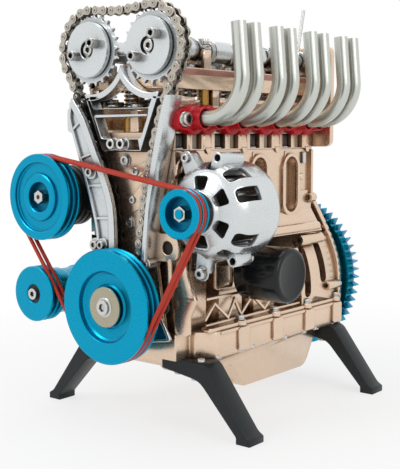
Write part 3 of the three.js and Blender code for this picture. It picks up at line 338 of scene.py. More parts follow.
def tube(path, radius, sides=24, inner=0.0, closed=False, caps=True):
    """A round bar along a path of points, capped at both ends; where inner is given, also a lining joined to
    it by rings at both ends.
    """
    path = [Vector(p) for p in path]
    count = len(path)
    tangents = []
    for i in range(count):
        before = path[i - 1] if closed or i else path[0]
        after = path[(i + 1) % count] if closed or i < count - 1 else path[-1]
        tangents.append((after - before).normalized())
    side = tangents[0].orthogonal().normalized()
    points, faces = [], []
    for p, t in zip(path, tangents):
        side = (side - t * side.dot(t)).normalized()
        other = t.cross(side)
        turns = [TAU * k / sides for k in range(sides)]
        points += [p + (side * math.cos(a) + other * math.sin(a)) * radius for a in turns]
    for i in range(count if closed else count - 1):
        for k in range(sides):
            j, m = (i + 1) % count, (k + 1) % sides
            faces.append((i * sides + k, i * sides + m, j * sides + m, j * sides + k))
    if not closed and caps:
        faces += [tuple(range(sides - 1, -1, -1)), tuple(range((count - 1) * sides, count * sides))]
    if inner:
        liner = tube(path, inner, sides, caps=False)
        offset, last = len(points), (count - 1) * sides
        points += liner[0]
        faces += [tuple(offset + i for i in reversed(face)) for face in liner[1]]
        for k in range(sides):
            m = (k + 1) % sides
            faces.append((last + k, last + m, offset + last + m, offset + last + k))
            faces.append((k, offset + k, offset + m, m))
    return [tuple(p) for p in points], faces


def moved(surface, matrix):
    return [tuple(matrix @ Vector(p)) for p in surface[0]], surface[1]


def turned_to(x, z, angle):
    """Carries a surface from the origin to a place in the front view, turned by an angle."""
    return Matrix.Translation((x, 0, z)) @ Matrix.Rotation(-angle, 4, "Y")


def cap_screw(axis, centre, face, out, radius, height, socket=0.5):
    """A socket-head screw that stands out of a face, out being 1 or -1 along the axis."""
    sides = 28
    top, floor = face + out * height, face + out * height * 0.4
    low, high = sorted((floor, top))
    hexagon = ring(centre, radius * socket, 6, 0.3)
    head = plate(axis, [ring(centre, radius, sides), hexagon], low, high, min(0.22, height * 0.12))
    return [head, drum(axis, centre, radius * 0.98, face, floor, 0, sides)]


def coil(centre, radius, low, high, wire, turns):
    steps = 14
    count = int(turns * steps)
    path = [
        (*polar(centre, radius, TAU * i / steps), low + (high - low) * i / count)
        for i in range(count + 1)
    ]
    return tube(path, wire, 6)


# Loops of the chain and belts


def spline_loop(knots, spacing):
    """Points an equal way apart along a smooth closed line through knots."""
    dense = []
    count = len(knots)
    for i in range(count):
        near = [Vector(knots[(i + k) % count]) for k in (-1, 0, 1, 2)]
        dense += [curve_point(*near, s / 12) for s in range(12)]
    lengths = [(dense[(i + 1) % len(dense)] - p).length for i, p in enumerate(dense)]
    total = sum(lengths)
    links = 2 * round(total / spacing / 2)
    step, result, walked, i = total / links, [], 0.0, 0
    for k in range(links):
        while walked + lengths[i] < k * step:
            walked += lengths[i]
            i += 1
        t = (k * step - walked) / lengths[i]
        result.append(tuple(dense[i].lerp(dense[(i + 1) % len(dense)], t)))
    return result


SLACK_RUN = [(-27, 151), (-22.5, 142), (-18.5, 133), (-14, 124), (-8, 110), (-4.6, 95), (-4, 86), (-5.2, 75)]
TIGHT_RUN = [
    (27.1, 150), (23, 139), (19.5, 127.5), (16.8, 117), (13.7, 102), (12.2, 92), (10.9, 82), (9.6, 70),
]


def pitch_radius(teeth, pitch):
    return pitch / (2 * math.sin(math.pi / teeth))


def chain_loop(context):
    e, chain = engine(context), context.scene.engine_chain
    x, z, pitch = e.cam_x, e.cam_z, chain.pitch / MM
    big, small = pitch_radius(chain.cam_teeth, pitch), pitch_radius(chain.cam_teeth // 2, pitch)
    knots = arc((-x, z), big, 222, 90, 7) + [(0, z + big - 1.3)] + arc((x, z), big, 90, -36, 7) + TIGHT_RUN
    knots += arc(e.crank, small, 0, -200, 8) + SLACK_RUN[::-1]
    return spline_loop(knots, pitch)


def belt_loop(discs):
    """A belt that runs clockwise round discs of (x, z, radius, side); side is -1 for a disc outside it."""
    runs = []
    for i, (ax, az, ar, a_side) in enumerate(discs):
        bx, bz, br, b_side = discs[(i + 1) % len(discs)]
        along, length = Vector((bx - ax, bz - az)), math.hypot(bx - ax, bz - az)
        along /= length
        c = (a_side * ar - b_side * br) / length
        s = math.sqrt(1 - c * c)
        n = Vector((along.x * c - along.y * s, along.y * c + along.x * s))
        runs.append((math.atan2(a_side * n.y, a_side * n.x), math.atan2(b_side * n.y, b_side * n.x)))
    points = []
    for i, (x, z, r, side) in enumerate(discs):
        arrive, leave = runs[i - 1][1], runs[i][0]
        while (leave - arrive) * -side < 0:
            leave -= side * TAU
        points += arc((x, z), r, math.degrees(arrive), math.degrees(leave), 30)
        end = points[-1]
        nx, nz, nr, _ = discs[(i + 1) % len(discs)]
        start = polar((nx, nz), nr, runs[i][1])
        dx, dz = start[0] - end[0], start[1] - end[1]
        points += [(end[0] + dx * k / 8, end[1] + dz * k / 8) for k in range(1, 8)]
    return points


# Shader values


class Value:
    """A socket that takes part in sums; each sum adds one Math node."""

    def __init__(self, finish, socket):
        self.finish, self.socket = finish, socket

    def sum(self, operation, *terms):
        return self.finish.node("ShaderNodeMath", {"operation": operation}, dict(enumerate(terms)))

    def __add__(self, other):
        return self.sum("ADD", self, other)

    def __sub__(self, other):
        return self.sum("SUBTRACT", self, other)

    def __mul__(self, other):
        return self.sum("MULTIPLY", self, other)

    def __rsub__(self, other):
        return self.sum("SUBTRACT", other, self)

    __radd__, __rmul__ = __add__, __mul__


class Finish:
    """One material and the nodes that make it."""

    def __init__(self, name):
        self.material = bpy.data.materials.new(name)
        self.material.use_nodes = True
        self.tree = self.material.node_tree
        self.shader = self.tree.nodes["Principled BSDF"]
        self.object = self.node("ShaderNodeTexCoord", output="Object")

    def node(self, kind, settings=None, inputs=None, output=0):
        made = self.tree.nodes.new(kind)
        for key, value in (settings or {}).items():
            setattr(made, key, value)
        for key, value in (inputs or {}).items():
            self.feed(made.inputs[key], value)
        return Value(self, made.outputs[output])

    def feed(self, socket, value):
        if isinstance(value, Value):
            self.tree.links.new(value.socket, socket)
        elif isinstance(value, (tuple, list)) and len(value) == 3 and len(socket.default_value) == 4:
            socket.default_value = (*value, 1)
        else:
            socket.default_value = value

    def surface(self, **sockets):
        for key, value in sockets.items():
            self.feed(self.shader.inputs[key.replace("_", " ").title()], value)

    def noise(self, scale, detail, rough, vector=None):
        inputs = {"Vector": vector or self.object, "Scale": scale, "Detail": detail, "Roughness": rough}
        return self.node("ShaderNodeTexNoise", {}, inputs, "Fac")

    def between(self, value, low, high, to_low=0.0, to_high=1.0):
        names = ("Value", "From Min", "From Max", "To Min", "To Max")
        inputs = dict(zip(names, (value, low, high, to_low, to_high)))
        return self.node("ShaderNodeMapRange", {"clamp": True}, inputs)

    def mix(self, factor, first, second):
        return self.node("ShaderNodeMix", {"data_type": "RGBA"}, {0: factor, 6: first, 7: second}, 2)

    def relief(self, height, strength, distance):
        inputs = {"Strength": strength, "Distance": distance, "Height": height}
        return self.node("ShaderNodeBump", {}, inputs, "Normal")

    def stretched(self, scale):
        return self.node("ShaderNodeMapping", {}, {"Vector": self.object, "Scale": scale})


def shade(base, amount):
    return tuple(min(1.0, c * amount) for c in base)


def metal(name, base, grain, metallic, roughness, patch=0.12, painted_recess_shade=None, streak=None, line=None):
    """Satin or machined metal: cloudy tone, fine grain, tool marks one way, painted shade in the recesses,
    and a painted dark reflection line where the face looks at the viewer.
    """
    finish = Finish(name)
    cloud = finish.between(finish.noise(45, 4, 0.6), 0.3, 0.7)
    speck = finish.between(finish.noise(900, 2, 0.6), 0.35, 0.65)
    tone = finish.mix(cloud * patch, base, shade(base, 0.7))
    tone = finish.mix(speck * (grain * 0.3), tone, shade(base, 1.25))
    marks = finish.noise(1.0, 3, 0.7, finish.stretched(streak)) if streak else finish.noise(2600, 1, 0.5)
    rough = finish.between(marks, 0.3, 0.7, roughness - 0.06, roughness + 0.08) + (cloud - 0.5) * 0.06
    # Painted shade: ambient occlusion blends the colour toward the given dark colour in recesses, creases and
    # between parts, and roughens it there.
    if painted_recess_shade:
        open_air = finish.node("ShaderNodeAmbientOcclusion", {"samples": 5}, {"Distance": 0.007}, "AO")
        recess_shade_mask = finish.between(open_air, 0.3, 0.85, 1.0, 0.0)
        tone = finish.mix(recess_shade_mask * 0.85, tone, painted_recess_shade)
        rough = rough + recess_shade_mask * 0.1
    # Painted reflection: where the surface faces the viewer almost head-on, the colour turns to the line
    # colour, a dark streak that stands in for a reflection and slides with the view.
    if line:
        facing = finish.node("ShaderNodeLayerWeight", {}, {"Blend": 0.5}, "Facing")
        tone = finish.mix(finish.between(facing, 0.004, 0.02, 1.0, 0.0), tone, line)
    normal = finish.relief(marks * grain + speck * (0.25 * grain), 0.35, 0.00006)
    finish.surface(base_color=tone, roughness=rough, metallic=metallic, normal=normal)
    return finish.material


def rubber(name, base):
    finish = Finish(name)
    dust = finish.between(finish.noise(300, 3, 0.6), 0.35, 0.7)
    skin = finish.noise(2200, 2, 0.6)
    tone = finish.mix(dust * 0.25, base, shade(base, 1.5))
    bump = finish.relief(skin, 0.3, 0.00005)
    finish.surface(base_color=tone, roughness=0.5 + dust * 0.15, metallic=0.0, normal=bump)
    return finish.material


def coated(name, base, roughness):
    """Powder-coated metal with a faint orange-peel skin."""
    finish = Finish(name)
    peel = finish.noise(700, 2, 0.5)
    wear = finish.between(finish.noise(60, 4, 0.65), 0.4, 0.8)
    tone = finish.mix(wear * 0.4, base, tuple(c + 0.02 for c in base))
    bump = finish.relief(peel, 0.2, 0.00008)
    finish.surface(base_color=tone, roughness=roughness + wear * 0.12, metallic=0.0, normal=bump)
    finish.shader.inputs["Specular IOR Level"].default_value = 0.28
    return finish.material


def make_finishes(context):
    """Makes the finishes once, by name."""
    c = context.scene.engine_colours
    # In each metal below, the dark colour given after the patch share is the painted shade of its recesses;
    # the near black here is that painted shade for screws and machined steel.
    g, steel_recess_shade = c.grain, (0.03, 0.03, 0.03)
    return {
        "gold": metal("champagne_case", tuple(c.gold), g, 0.94, 0.22, 0.14, (0.17, 0.085, 0.035)),
        "rose": metal("rose_band", (0.4, 0.2, 0.165), g, 0.9, 0.3),
        # A darker copy of the case colour: painted shade for the round walls in the head's pockets.
        "gold_painted_shade": metal("champagne_painted_shade", shade(c.gold, 0.32), g, 0.85, 0.4, 0.3),
        "silver": metal("satin_silver", tuple(c.silver), g, 0.92, 0.24, 0.08, (0.12, 0.12, 0.12)),
        "bright": metal("bright_steel", tuple(c.bright), g, 0.95, 0.2, 0.08, steel_recess_shade),
        "steel": metal("machined_steel", tuple(c.steel), g, 0.95, 0.26, 0.2, steel_recess_shade, (60, 3000, 60)),
        # The pipes' line colour is a painted dark reflection down each pipe, and the colour before it is
        # their painted recess shade.
        "pipe": metal(
            "pipe_steel", tuple(c.pipe), g * 0.5, 0.92, 0.33, 0.16, (0.15, 0.12, 0.09),
            line=(0.2, 0.21, 0.19),
        ),
        "link": metal("chain_steel", tuple(c.link), g, 0.95, 0.24, 0.2, (0.015, 0.013, 0.011)),
        "blue": metal("blue_anodised", tuple(c.blue), g, 0.88, 0.27, 0.12, (0.0, 0.07, 0.13)),
        # A darker copy of the blue: painted shade for the pulleys' wells and the windows of the plate's
        # brackets.
        "blue_painted_shade": metal("blue_anodised_painted_shade", shade(c.blue, 0.5), g, 0.8, 0.34, 0.2),
        "bronze": metal("bronze_guide", tuple(c.bronze), g, 0.9, 0.28, 0.2, None, (60, 60, 2500)),
        "washer": metal("pale_washer", (0.42, 0.39, 0.29), g, 0.9, 0.26, 0.2),
        # Near-black steel: oiled steel, and painted shade where it fills holes, sockets and gaps.
        "dark": metal("oiled_steel_and_painted_shade", tuple(c.dark), g, 0.7, 0.45, 0.3),
        "flange": coated("red_lacquer", tuple(c.red), 0.26),
        "black": coated("black_coat", tuple(c.black), 0.34),
        "gloss": coated("black_gloss", shade(c.black, 0.5), 0.12),
        "belt": rubber("belt_rubber", tuple(c.belt)),
    }


FINISHES = {}


class Blank:
    """Gathers surfaces for one object, each with its finish."""

    def __init__(self, name):
        self.name, self.points, self.faces, self.finishes, self.marks = name, [], [], [], []

    def add(self, finish, *surfaces):
        if finish not in self.finishes:
            self.finishes.append(finish)
        mark = self.finishes.index(finish)
        for surface in surfaces:
            if isinstance(surface, list):
                self.add(finish, *surface)
                continue
            offset = len(self.points)
            self.points += surface[0]
            self.faces += [tuple(offset + i for i in face) for face in surface[1]]
            self.marks += [mark] * len(surface[1])
        return self

    def mesh(self, smooth=32):
        mesh = bpy.data.meshes.new(self.name)
        mesh.from_pydata([Vector(p) * MM + SHIFT for p in self.points], [], self.faces)
        mesh.polygons.foreach_set("material_index", self.marks)
        tool = bmesh.new()
        tool.from_mesh(mesh)
        bmesh.ops.recalc_face_normals(tool, faces=tool.faces)
        tool.to_mesh(mesh)
        tool.free()
        for finish in self.finishes:
            mesh.materials.append(FINISHES[finish])
        mesh.shade_smooth()
        mesh.set_sharp_from_angle(angle=math.radians(smooth))
        return mesh

    def finish(self, body, *nodes, smooth=32):
        """Makes the object, which rides on a body and stands for the named solids."""
        piece = bpy.data.objects.new(self.name, self.mesh(smooth))
        bpy.context.scene.collection.objects.link(piece)
        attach(piece, body)
        if nodes:
            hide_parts(*nodes)
        return piece


def carve(piece, cutters, edge=0.0, smooth=32, finish="gold"):
    """Cuts surfaces out of a piece, then rounds the edges."""
    tool = bpy.data.objects.new("cutter", Blank("cutter").add(finish, *cutters).mesh())
    bpy.context.scene.collection.objects.link(tool)
    cut = piece.modifiers.new("cut", "BOOLEAN")
    cut.operation, cut.object, cut.solver, cut.use_self = "DIFFERENCE", tool, "EXACT", True
    cut.material_mode = "TRANSFER"
    if edge:
        rim = piece.modifiers.new("rim", "BEVEL")
        rim.width, rim.segments, rim.limit_method, rim.angle_limit = edge * MM, 2, "ANGLE", math.radians(40)
        rim.use_clamp_overlap, rim.miter_outer = True, "MITER_ARC"
    graph = bpy.context.evaluated_depsgraph_get()
    result = bpy.data.meshes.new_from_object(piece.evaluated_get(graph))
    piece.modifiers.clear()
    piece.data = result
    result.shade_smooth()
    result.set_sharp_from_angle(angle=math.radians(smooth))
    bpy.data.objects.remove(tool)


def engine(context):
    """The engine's sizes in millimetres."""
    s = context.scene.engine_sizes
    first, pitch, deck = s.first_cylinder / MM, s.pitch / MM, s.deck / MM
    return SimpleNamespace(
        crank=(0.0, s.crank_height / MM), cam_z=s.cam_height / MM, cam_x=s.cam_half / MM,
        cylinders=[first + i * pitch for i in range(4)],
        bearings=[first + (i - 0.5) * pitch for i in range(5)],
        deck=deck, head_top=deck + 20, rail_low=deck + 27,
        half=s.block_half / MM, front=s.block_front / MM, rear=s.block_rear / MM,
    )


# Front drive


class ENGINE_OT_chain(Operator):
    """Timing chain of single links round both cam sprockets and the crank sprocket"""

    bl_idname, bl_label = "engine.chain", "Timing chain"

    def execute(self, context):
        chain = context.scene.engine_chain
        loop, half, pitch, pin = chain_loop(context), chain.plate / MM, chain.pitch / MM, chain.pin / MM

        def link(end):
            waist = 0.62 * end
            outline = arc((pitch, 0), end, -115, 115, 12) + [(pitch / 2, waist)]
            return outline + arc((0, 0), end, 65, 295, 12) + [(pitch / 2, -waist)]

        outer = [plate("y", [link(half)], low, high, 0.15) for low, high in ((10.35, 11.05), (14.95, 15.65))]
        inner = [
            plate("y", [link(half * 0.93)], low, high, 0.12) for low, high in ((11.15, 11.85), (14.15, 14.85))
        ]
        head = turned("y", (0, 0), [(0, 9.98), (0.75, 9.98), (1.05, 10.2), (1.05, 10.4)], 14)
        dimple = turned("y", (0, 0), [(0, 9.96), (0.42, 9.96), (0.42, 10.0)], 8)
        shank = turned("y", (0, 0), [(pin, 10.4), (pin, 15.9), (0, 15.9)], 10)
        blank = Blank("timing_chain_links")
        for i, (x, z) in enumerate(loop):
            nx, nz = loop[(i + 1) % len(loop)]
            turn = turned_to(x, z, math.atan2(nz - z, nx - x))
            # Links of the slack strand take the near-black finish: a painted shadow over that strand.
            shaded_slack = x < -2 and 62 < z < 149
            sides = outer if i % 2 else inner
            blank.add("dark" if shaded_slack else "link", *[moved(side, turn) for side in sides])
            blank.add("link", moved(head, turn))
            # Pin shanks between the plates and the dimples in the pins' heads are near black: painted shade.
            blank.add("dark", moved(shank, turn), moved(dimple, turn))
        blank.finish("frame", "timing_chain")
        return {"FINISHED"}


def sprocket(chain, loop, centre, teeth, *holes):
    """A chain wheel whose hollows sit under the chain's pins."""
    radius, root, tip = pitch_radius(teeth, chain.pitch / MM), 2.75, 1.2
    near = min(loop, key=lambda p: math.hypot(p[0] - centre[0], p[1] - centre[1]))
    depths = ((-0.3, root), (0, root + 0.2), (0.3, root), (0.42, tip + 0.25), (0.5, tip), (0.58, tip + 0.25))
    start = math.atan2(near[1] - centre[1], near[0] - centre[0])
    outline = toothed(centre, teeth, [(part, radius - depth) for part, depth in depths], start)
    return plate("y", [outline, *holes], 12.05, 14, 0.2)


class ENGINE_OT_cam_wheels(Operator):
    """Cam sprockets with their thick front discs and long socket screws, and the crank sprocket"""

    bl_idname, bl_label = "engine.cam_wheels", "Sprockets"

    def execute(self, context):
        e, chain, loop = engine(context), context.scene.engine_chain, chain_loop(context)
        profile = [(0, 11.8), (2.6, 11.8), (3.9, 11.4), (3.9, 9.2), (4.2, 9), (12.2, 9), (12.5, 9.3)]
        profile += [(12.5, 11.3), (12.2, 11.5), (11.4, 11.6), (11.4, 11.95), (13.6, 12.0)]
        for side, x, places in (
            ("left", -e.cam_x, ((-6, -2.5), (6, 2.5))), ("right", e.cam_x, ((-5.7, -4.5), (5.7, 4.5))),
        ):
            centre = (x, e.cam_z)
            blank = Blank("cam_wheel_" + side).add("silver", turned("y", centre, profile, 96))
            blank.add("silver", sprocket(chain, loop, centre, chain.cam_teeth))
            for dx, dz in places:
                spot = (x + dx, e.cam_z + dz)
                blank.add("steel", cap_screw("y", spot, 9, -1, 2.25, 4.3, 0.6))
                # A near-black disc deep in each screw's socket: painted shade.
                blank.add("dark", turned("y", spot, [(0, 6.6), (1.2, 6.6), (1.2, 6.7)], 6))
            blank.add("bright", cap_screw("y", centre, 11.8, -1, 2.7, 2.2))
            blank.finish("cam_" + side, "cam_sprocket_" + side)
        wheel = sprocket(chain, loop, e.crank, chain.cam_teeth // 2, ring(e.crank, 3.6, 24))
        Blank("crank_wheel").add("steel", wheel).finish("crank", "crank_sprocket")
        return {"FINISHED"}


def grooved_rim(radius):
    """Half section of a pulley's rim, from its front edge back, with two grooves for round belts."""
    rim = [(radius - 0.4, 0), (radius, 0.4), (radius, 1.35)]
    for middle in GROOVES:
        rim += [(radius - 0.2, middle - 1.3), (radius - 1.75, middle - 0.75), (radius - 2.0, middle)]
        rim += [(radius - 1.75, middle + 0.75), (radius - 0.2, middle + 1.3)]
        rim += [(radius, middle + 1.42), (radius, middle + 1.68)] if middle < 4 else []
    return rim + [(radius, 7.25), (radius, 8.0), (radius - 0.4, 8.4), (radius * 0.55, 8.4)]


class ENGINE_OT_pulleys(Operator):
    """Blue pulleys of the crankshaft, alternator, compressor and idler"""

    bl_idname, bl_label = "engine.pulleys", "Pulleys"

    def execute(self, context):
        centre, chain = engine(context).crank, context.scene.engine_chain
        hub, dot = 3.6, 0.01
        dish = [(hub, 2.6), (9.4, 2.6), (10.2, 3.3), (12.6, 3.3), (14.6, 2.9), (15.5, 2.2), (15.9, 1.2)]
        dish += [(16.1, 0.35), (16.4, 0.05)]
        profile = dish + grooved_rim(chain.crank_pulley / MM) + [(hub, 8.4)]
        blank = Blank("crank_pulley_rim").add("blue", turned("y", centre, profile, 128, True))
        blank.finish("crank", "crank_pulley", smooth=24)
        blank = Blank("crank_washer").add("washer", drum("y", centre, 9.1, 1.3, 0.1, 0.25, 64))
        blank.add("bright", turned("y", centre, [(0, -0.2), (3.9, -0.2), (4.4, 0.1)], 40))
        blank.add("bright", cap_screw("y", centre, 0.1, -1, 3.4, 1.45, 0.55))
        # A near-black disc in the bolt's socket: painted shade.
        blank.add("dark", disc("y", centre, 1.7, -0.35, 6)).finish("crank", "pulley_bolt")
        step = [(7.0, 0.7), (7.5, 0.3), (10.4, 0.3), (11.0, 0.7), (11.3, 1.7), (15.6, 1.7), (16.0, 1.3)]
        step += [(16.2, 0.3), (16.6, 0.0)]
        for name, axle, radius, well, depth, front in (
            ("alternator", ALTERNATOR, chain.alternator_pulley / MM, 7.2, 4.6, [(7.2, 0.5), (7.7, 0)]),
            ("compressor", COMPRESSOR, chain.compressor_pulley / MM, 7.0, 3.8, step),
            ("idler", IDLER, chain.idler / MM, 4.3, 1.1, [(4.3, 0.5), (4.8, 0)]),
        ):
            rim = [(dot, depth), (well, depth)] + front + grooved_rim(radius) + [(dot, 8.4)]
            blank = Blank(name + "_pulley_rim").add("blue", turned("y", axle, rim, 96))
            blank.add("blue", turned("y", axle, [(2.4, 8.3), (2.4, 24)], 24))
            if name == "idler":
                # A near-black disc on the idler's well floor: painted shade.
                blank.add("dark", disc("y", axle, 4.1, 0.9, 32))
                blank.add("bright", cap_screw("y", axle, 1.0, -1, 2.7, 1.9))
            else:
                nut, nut_face = (3.2, 0.2) if name == "compressor" else (3.4, 1.0)
                # The well's floor takes the darker blue: painted shade.
                blank.add("blue_painted_shade", disc("y", axle, well - 0.1, depth - 0.1, 40))
                blank.add("bright", plate("y", [ring(axle, nut, 6, 0.5)], nut_face, depth, 0.3))
            if name == "compressor":
                # A near-black disc at the middle of the nut: painted shade.
                blank.add("dark", disc("y", axle, 1.1, 0.15, 12))
            if name == "alternator":
                blank.add("blue", turned("y", axle, [(0, 0.3), (1.7, 0.3), (2.0, 0.6), (2.0, 2)], 24))
            blank.finish(name, name + "_pulley", smooth=24)
        return {"FINISHED"}


class ENGINE_OT_belts(Operator):
    """Two round belts, side by side, round the four pulleys"""

    bl_idname, bl_label = "engine.belts", "Belts"

    def execute(self, context):
        chain, sink = context.scene.engine_chain, 0.8
        discs = [
            (*axle, radius / MM - sink, side) for axle, radius, side in (
                (COMPRESSOR, chain.compressor_pulley, 1), (ALTERNATOR, chain.alternator_pulley, 1),
                (engine(context).crank, chain.crank_pulley, 1), (IDLER, chain.idler, -1),
            )
        ]
        for name, y in zip(("belt_front", "belt_rear"), GROOVES):
            path = [(x, y, z) for x, z in belt_loop(discs)]
            belt = tube(path, chain.belt / MM, 14, closed=True)
            Blank(name + "_cord").add("belt", belt).finish("frame", name, smooth=60)
        return {"FINISHED"}


class ENGINE_OT_chain_guides(Operator):
    """Tension arm, fixed guide, bracket between the cams, and the plate behind the chain"""

    bl_idname, bl_label = "engine.chain_guides", "Chain guides"

    def execute(self, context):
        e = engine(context)
        self.tension_arm()
        self.fixed_guide()
        self.bracket(e.cam_x, e.cam_z)
        self.timing_plate(e.crank)
        return {"FINISHED"}

    def tension_arm(self):
        right = smooth_run([
            (-25.9, 149.4), (-20.1, 141.9), (-16.7, 135.8), (-12.1, 126.4), (-7.6, 117.1), (-3.6, 107.9),
            (-1.4, 99.9), (-0.7, 91), (-0.6, 80),
        ])
        left = smooth_run([
            (-27.4, 149.6), (-29.3, 141), (-26.5, 132.4), (-23.2, 123.6), (-19.1, 112.7), (-15, 100.6),
            (-12.3, 90.5), (-11.2, 80),
        ])
        blank = Blank("tension_arm_casting")
        for outline, low, high, edge in (
            (right + left[::-1], 8.9, 9.75, 0.2),
            (right + beside(right, 0, 3.6)[len(right):], 7.5, 9.2, 0.35),
            (left + beside(left, 0, -1.5)[len(left):], 7.6, 9.1, 0.3),
            (beside(smooth_run(SLACK_RUN)[2:], 2.2, 5), 9.7, 15.6, 0.3),
        ):
            blank.add("silver", plate("y", [outline], low, high, edge))
        for rib in (
            [(-21.5, 139.6), (-28, 134.6)], [(-14.6, 124.8), (-22.6, 122.1)], [(-7.4, 110.5), (-17.6, 110)],
            [(-4.4, 96), (-13, 95.4)], [(-22.6, 146), (-28.4, 145)],
        ):
            blank.add("silver", plate("y", [thick_line(rib, 0.6)], 7.9, 9.05, 0.25))
        for x, z, r in ((-15.2, 116.3, 2.5), (-12.6, 83.4, 2.5), (-8.4, 83.6, 2.3)):
            blank.add("silver", drum("y", (x, z), r + 0.9, 9.4, 7.4))
            blank.add("bright", cap_screw("y", (x, z), 7.5, -1, r * 0.86, 1.5, 0.55))
        blank.finish("frame", "tension_arm")

    def fixed_guide(self):
        inside = smooth_run([
            (28.1, 149.8), (24.7, 139.4), (22.1, 129.3), (19.5, 117.7), (17.3, 106), (15.4, 92.9), (13.9, 77),
        ])
        outside = smooth_run([
            (30.6, 149.8), (27.7, 139.4), (24.9, 127.6), (21.9, 114.9), (18.9, 101.4), (17.3, 88.6),
            (15.9, 77),
        ])
        foot = (15.6, 76.6)
        blank = Blank("chain_guide_rail").add("silver", plate("y", [inside + outside[::-1]], 9, 18.1, 0.4))
        blank.add("silver", drum("y", foot, 2.3, 10.5, 18, 0.3, 28))
        blank.add("bright", cap_screw("y", foot, 10.6, -1, 1.7, 1.4)).finish("frame", "chain_guide")

    def bracket(self, x, z):
        under, over, middle = 22.2, 19.8, 0.01
        bridge = [p for p in arc((x, z), over, 205, 281, 20) if p[0] > 0.2][::-1]
        outline = both_sides([(11.8, 126), (22.6, bridge[0][1] - 0.4)] + bridge + [(middle, 163.6)])
        apex = (middle, z - math.sqrt(under ** 2 - x ** 2))
        window = [apex] + [p for p in arc((x, z), under, 216, 278, 20) if p[0] > 0.3 and p[1] > 140]
        upper = both_sides([(17.0, 144.4), (19.4, 149.2)] + window[::-1])
        lower = rounded([(-16.2, 141.6), (-11.8, 131.4), (11.8, 131.4), (16.2, 141.6)], 1.3)
        blank = Blank("chain_bracket_frame")
        blank.add("silver", plate("y", [outline, upper, lower], 11.6, 18.0, 0.35))
        for screw_x in (-3, 3):
            blank.add("silver", drum("y", (screw_x, 129), 2.9, 11.8, 10.6))
            blank.add("bright", cap_screw("y", (screw_x, 129), 10.8, -1, 2.35, 3.0, 0.56))
        blank.finish("frame", "chain_bracket")

    def timing_plate(self, crank):
        outline = [(-13.4, 125.7), (-22, 47), (22, 47), (17, 77.5), (29.6, 77.5), (29.6, 90), (17, 90)]
        outline.append((13.4, 125.7))
        ear = (23.4, 83.7)
        loops = [rounded(outline, [1, 2, 2, 1, 6, 6, 3, 1]), ring(crank, 4.3, 32), ring(ear, 3.0, 32)]
        blank = Blank("timing_plate").add("gold", plate("y", loops, 16.0, 18.0, 0.3))
        # A near-black disc in the ear's hole: painted shade.
        blank.add("dark", disc("y", ear, 3, 17.6, 24))
        blank.add("gold", drum("z", (24.4, 16.4), 1.2, 66, 79, 0.4, 20))
        for sign in (1, -1):
            outside = [(sign * u, v) for u, v in ((10, 40), (19.4, 54.4), (26.4, 42.6))]
            inside = [(sign * u, v) for u, v in ((12.8, 41.8), (19.3, 51.8), (24, 43.8))]
            blank.add("silver", plate("y", [rounded(outside, 2.4), rounded(inside, 1.6)], 14.8, 16.4, 0.3))
            # The bracket's window is filled with the darker blue: a painted blue reflection in shade.
            blank.add("blue_painted_shade", plate("y", [rounded(inside, 1.0)], 15.6, 16.2, 0.1))
            # A near-black ring round each screw: painted shade in its counterbore.
            blank.add("dark", drum("y", (sign * 21.9, 57.6), 3.1, 16, 14.9, 0.25, 28))
            blank.add("bright", cap_screw("y", (sign * 21.9, 57.6), 15, -1, 2.1, 1.8))
        for x, z, r in ((-1, 121.6, 2.3), (5.3, 116.7, 1.9), (1.4, 93.5, 2.3), (3.5, 104, 1.6), (-6, 68, 2)):
            blank.add("bright", drum("y", (x, z), r + 0.7, 16, 15.5, 0.15, 28))
            blank.add("bright", cap_screw("y", (x, z), 15.6, -1, r, 1.0))
        for loop in (
            [(3, 112), (12.6, 118), (12.2, 122), (2, 117)], [(2, 98), (9.4, 101), (9.6, 112), (4, 107)],
        ):
            blank.add("gold", plate("y", [rounded(loop, 1.5)], 15.4, 16.2, 0.25))
        blank.finish("frame", "timing_backplate")


# Cases


def window_slots(e):
    """The block's side windows, as (middle, lowest, highest)."""
    return [(y - 5.6, 94.2, 122.2) for y in e.cylinders]


def bell_outline(inset=0.0):
    half = [(36, 45), (36, 60), (34.6, 68), (31.8, 76), (26.6, 85.6), (19.4, 98)]
    half = [(x - inset, z - inset if z > 46 else z) for x, z in half]
    return rounded(both_sides(half), [0, 4, 4, 4, 3, 1.5] * 2)


